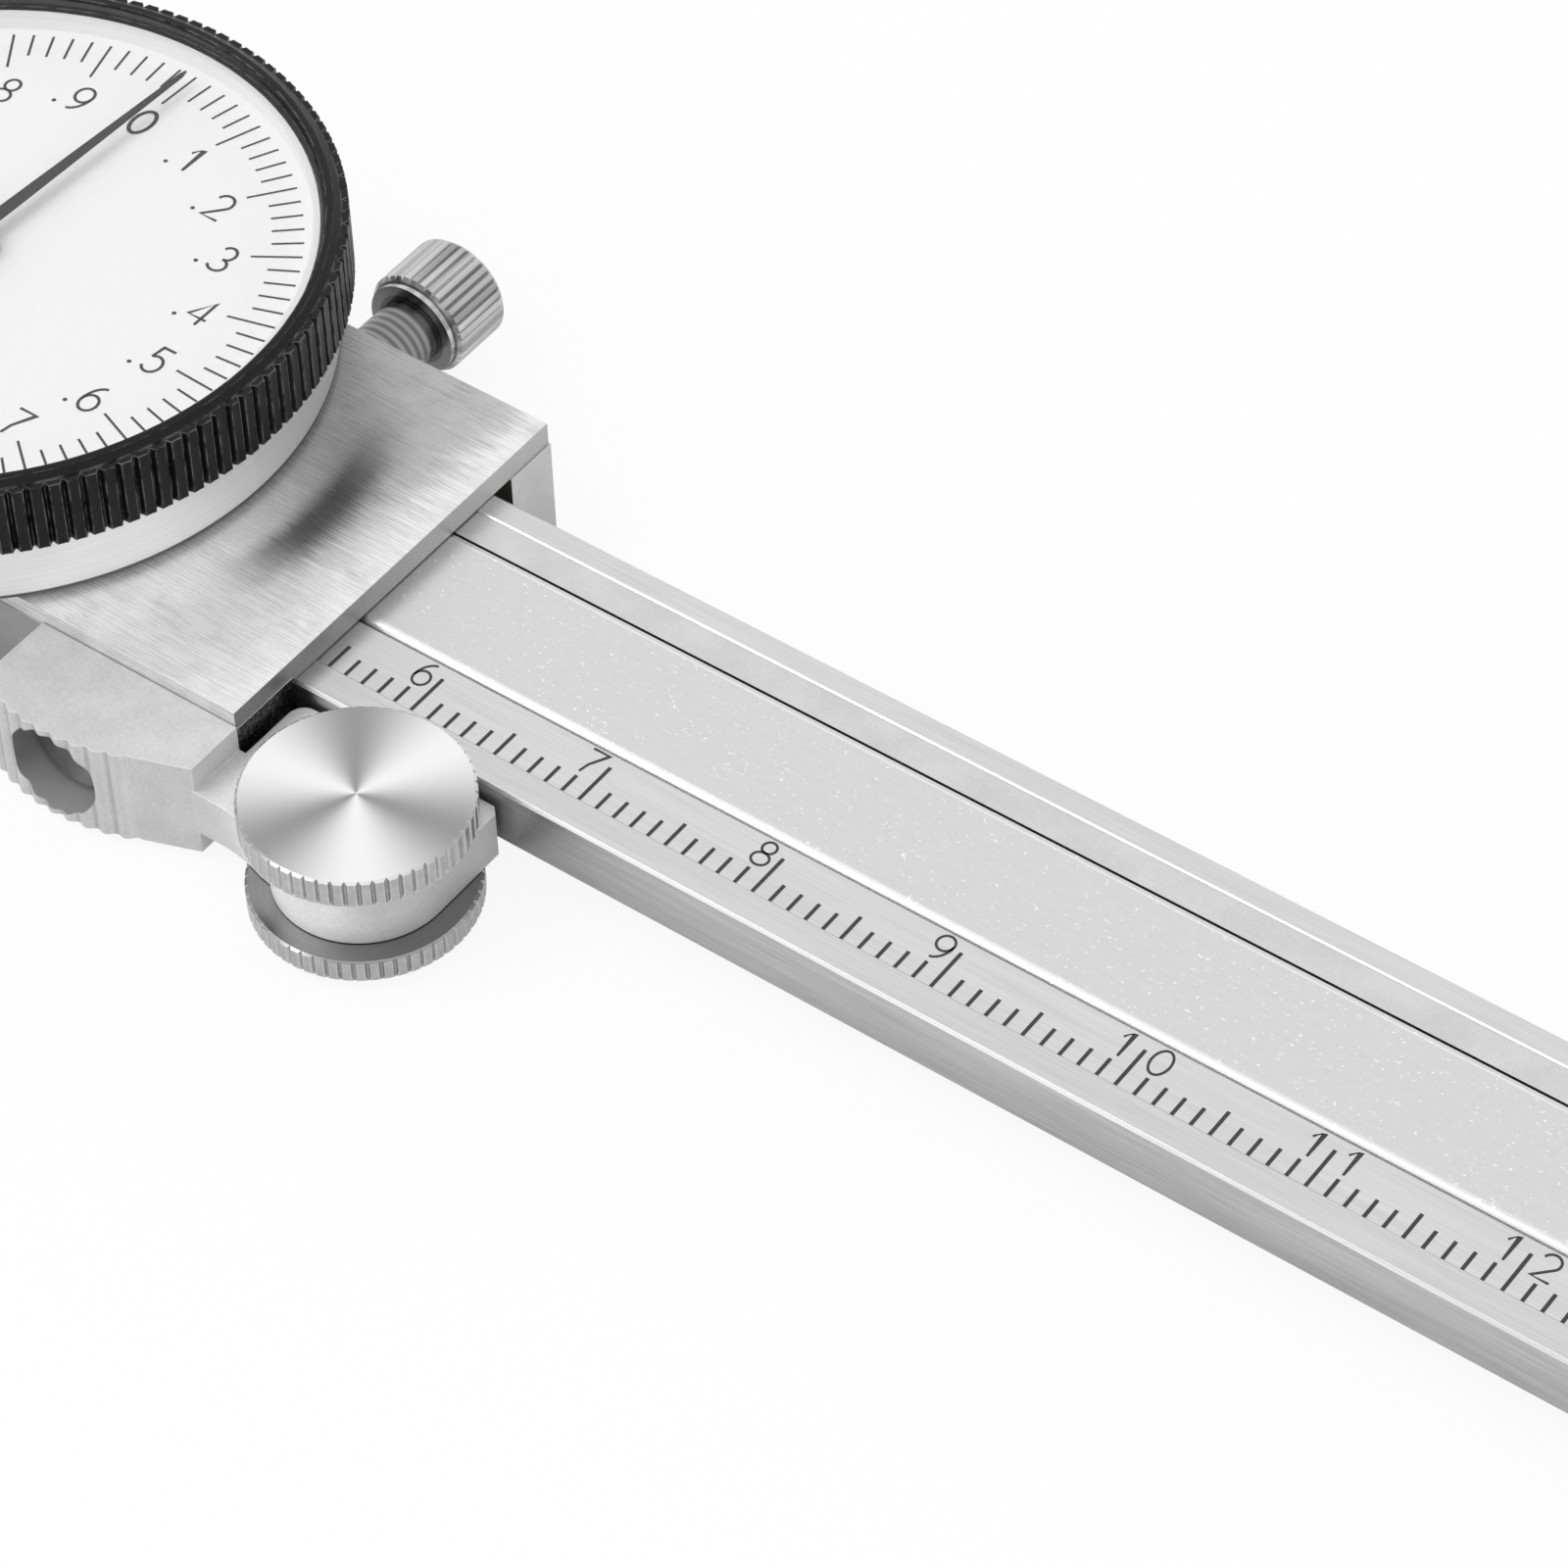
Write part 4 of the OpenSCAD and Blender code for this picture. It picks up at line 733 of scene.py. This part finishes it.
# The dial stands turned a little from the pointer's place at rest
DIAL_TURN = math.radians(-2.6)
DIAL_OUTER, DIAL_LONG, DIAL_SHORT = 16.5 * MM, 13.95 * MM, 14.9 * MM
DIAL_LINE = 0.13 * MM
NUMERAL_R = 12.4 * MM
NUMERAL_SHIFT = Vector((0.2, -0.08)) * MM
NUMERAL_WIDTH, NUMERAL_HEIGHT = 1.15 * MM, 1.8 * MM
NUMERAL_LINE, ZERO_LINE = 0.16 * MM, 0.22 * MM
POINT_GAP, POINT_R = 0.5 * MM, 0.12 * MM
# How far down its numeral the point stands, as a share of the numeral's height
POINT_DOWN = 0.45


def dial_marks():
    bm = bmesh.new()
    z = FACE_Z + INK_LIFT
    centre = Vector((DIAL.x, DIAL.y))

    def out(angle, radius):
        return centre + Vector((math.cos(angle), math.sin(angle))) * radius

    for i in range(DIVISIONS):
        angle = math.pi / 2 + DIAL_TURN - 2 * math.pi * i / DIVISIONS
        long = i % LONG_EACH == 0
        strip(bm, [out(angle, DIAL_LONG if long else DIAL_SHORT), out(angle, DIAL_OUTER)], DIAL_LINE, z)
        if not long:
            continue
        digit = str(i // LONG_EACH % NUMERALS)
        middle = out(angle, NUMERAL_R) + NUMERAL_SHIFT
        line = ZERO_LINE
        if digit != "0":
            line = NUMERAL_LINE
            middle += Vector((POINT_GAP / 4, 0))
            to_point = Vector((NUMERAL_WIDTH / 2 + POINT_GAP, NUMERAL_HEIGHT * POINT_DOWN))
            dot(bm, middle - to_point, POINT_R, z)
        corner = middle - Vector((NUMERAL_WIDTH, NUMERAL_HEIGHT)) / 2
        sign(bm, digit, corner, NUMERAL_WIDTH, NUMERAL_HEIGHT, line, z)
    marks("dial_marks", bm, ink("dial_ink", 0.02), "bezel_group")


dial_marks()


# Studio: white floor, pale sky and one soft lamp

WHITE = (1, 1, 1, 1)
PAPER = (0.95, 0.95, 0.95, 1)
SKY = 0.8
FLOOR_SIZE = 3.0
FLOOR_X = 0.1
FLOOR_GAP = 0.02 * MM


def make_floor():
    bm = bmesh.new()
    bmesh.ops.create_grid(bm, x_segments=1, y_segments=1, size=FLOOR_SIZE)
    mesh = bpy.data.meshes.new("floor")
    bm.to_mesh(mesh)
    bm.free()
    floor = bpy.data.objects.new("floor", mesh)
    floor.location = (FLOOR_X, 0, cad_box[0].z - FLOOR_GAP)
    material = bpy.data.materials.new("floor_white")
    material.use_nodes = True
    material.node_tree.nodes.remove(material.node_tree.nodes["Principled BSDF"])
    s = Shading(material.node_tree)
    paper = s.node("ShaderNodeBsdfDiffuse", {}, {"Color": PAPER})
    lit = s.node("ShaderNodeEmission", {}, {"Color": WHITE, "Strength": 1.0})
    mixed = s.node("ShaderNodeMixShader", {}, {0: s.seen(0.9, 0.35), 1: paper, 2: lit})
    s.put(material.node_tree.nodes["Material Output"].inputs["Surface"], mixed)
    mesh.materials.append(material)
    scene.collection.objects.link(floor)


def make_world():
    world = bpy.data.worlds.new("studio")
    world.use_nodes = True
    s = Shading(world.node_tree)
    background = world.node_tree.nodes["Background"]
    background.inputs["Color"].default_value = WHITE
    s.put(background.inputs["Strength"], s.seen(1 - SKY, 1 - SKY) + SKY)
    scene.world = world


def soft_lamp(name, place, target, size, power):
    data = bpy.data.lights.new(name, "AREA")
    data.shape = "SQUARE"
    data.size = size
    data.energy = power
    lamp = bpy.data.objects.new(name, data)
    lamp.location = place
    lamp.rotation_euler = (Vector(target) - Vector(place)).to_track_quat("-Z", "Y").to_euler()
    scene.collection.objects.link(lamp)


make_floor()
make_world()
soft_lamp("key", place=(-0.32, -0.38, 0.72), target=(0.05, 0, 0), size=0.5, power=2.4)
scene.view_settings.view_transform = "Standard"
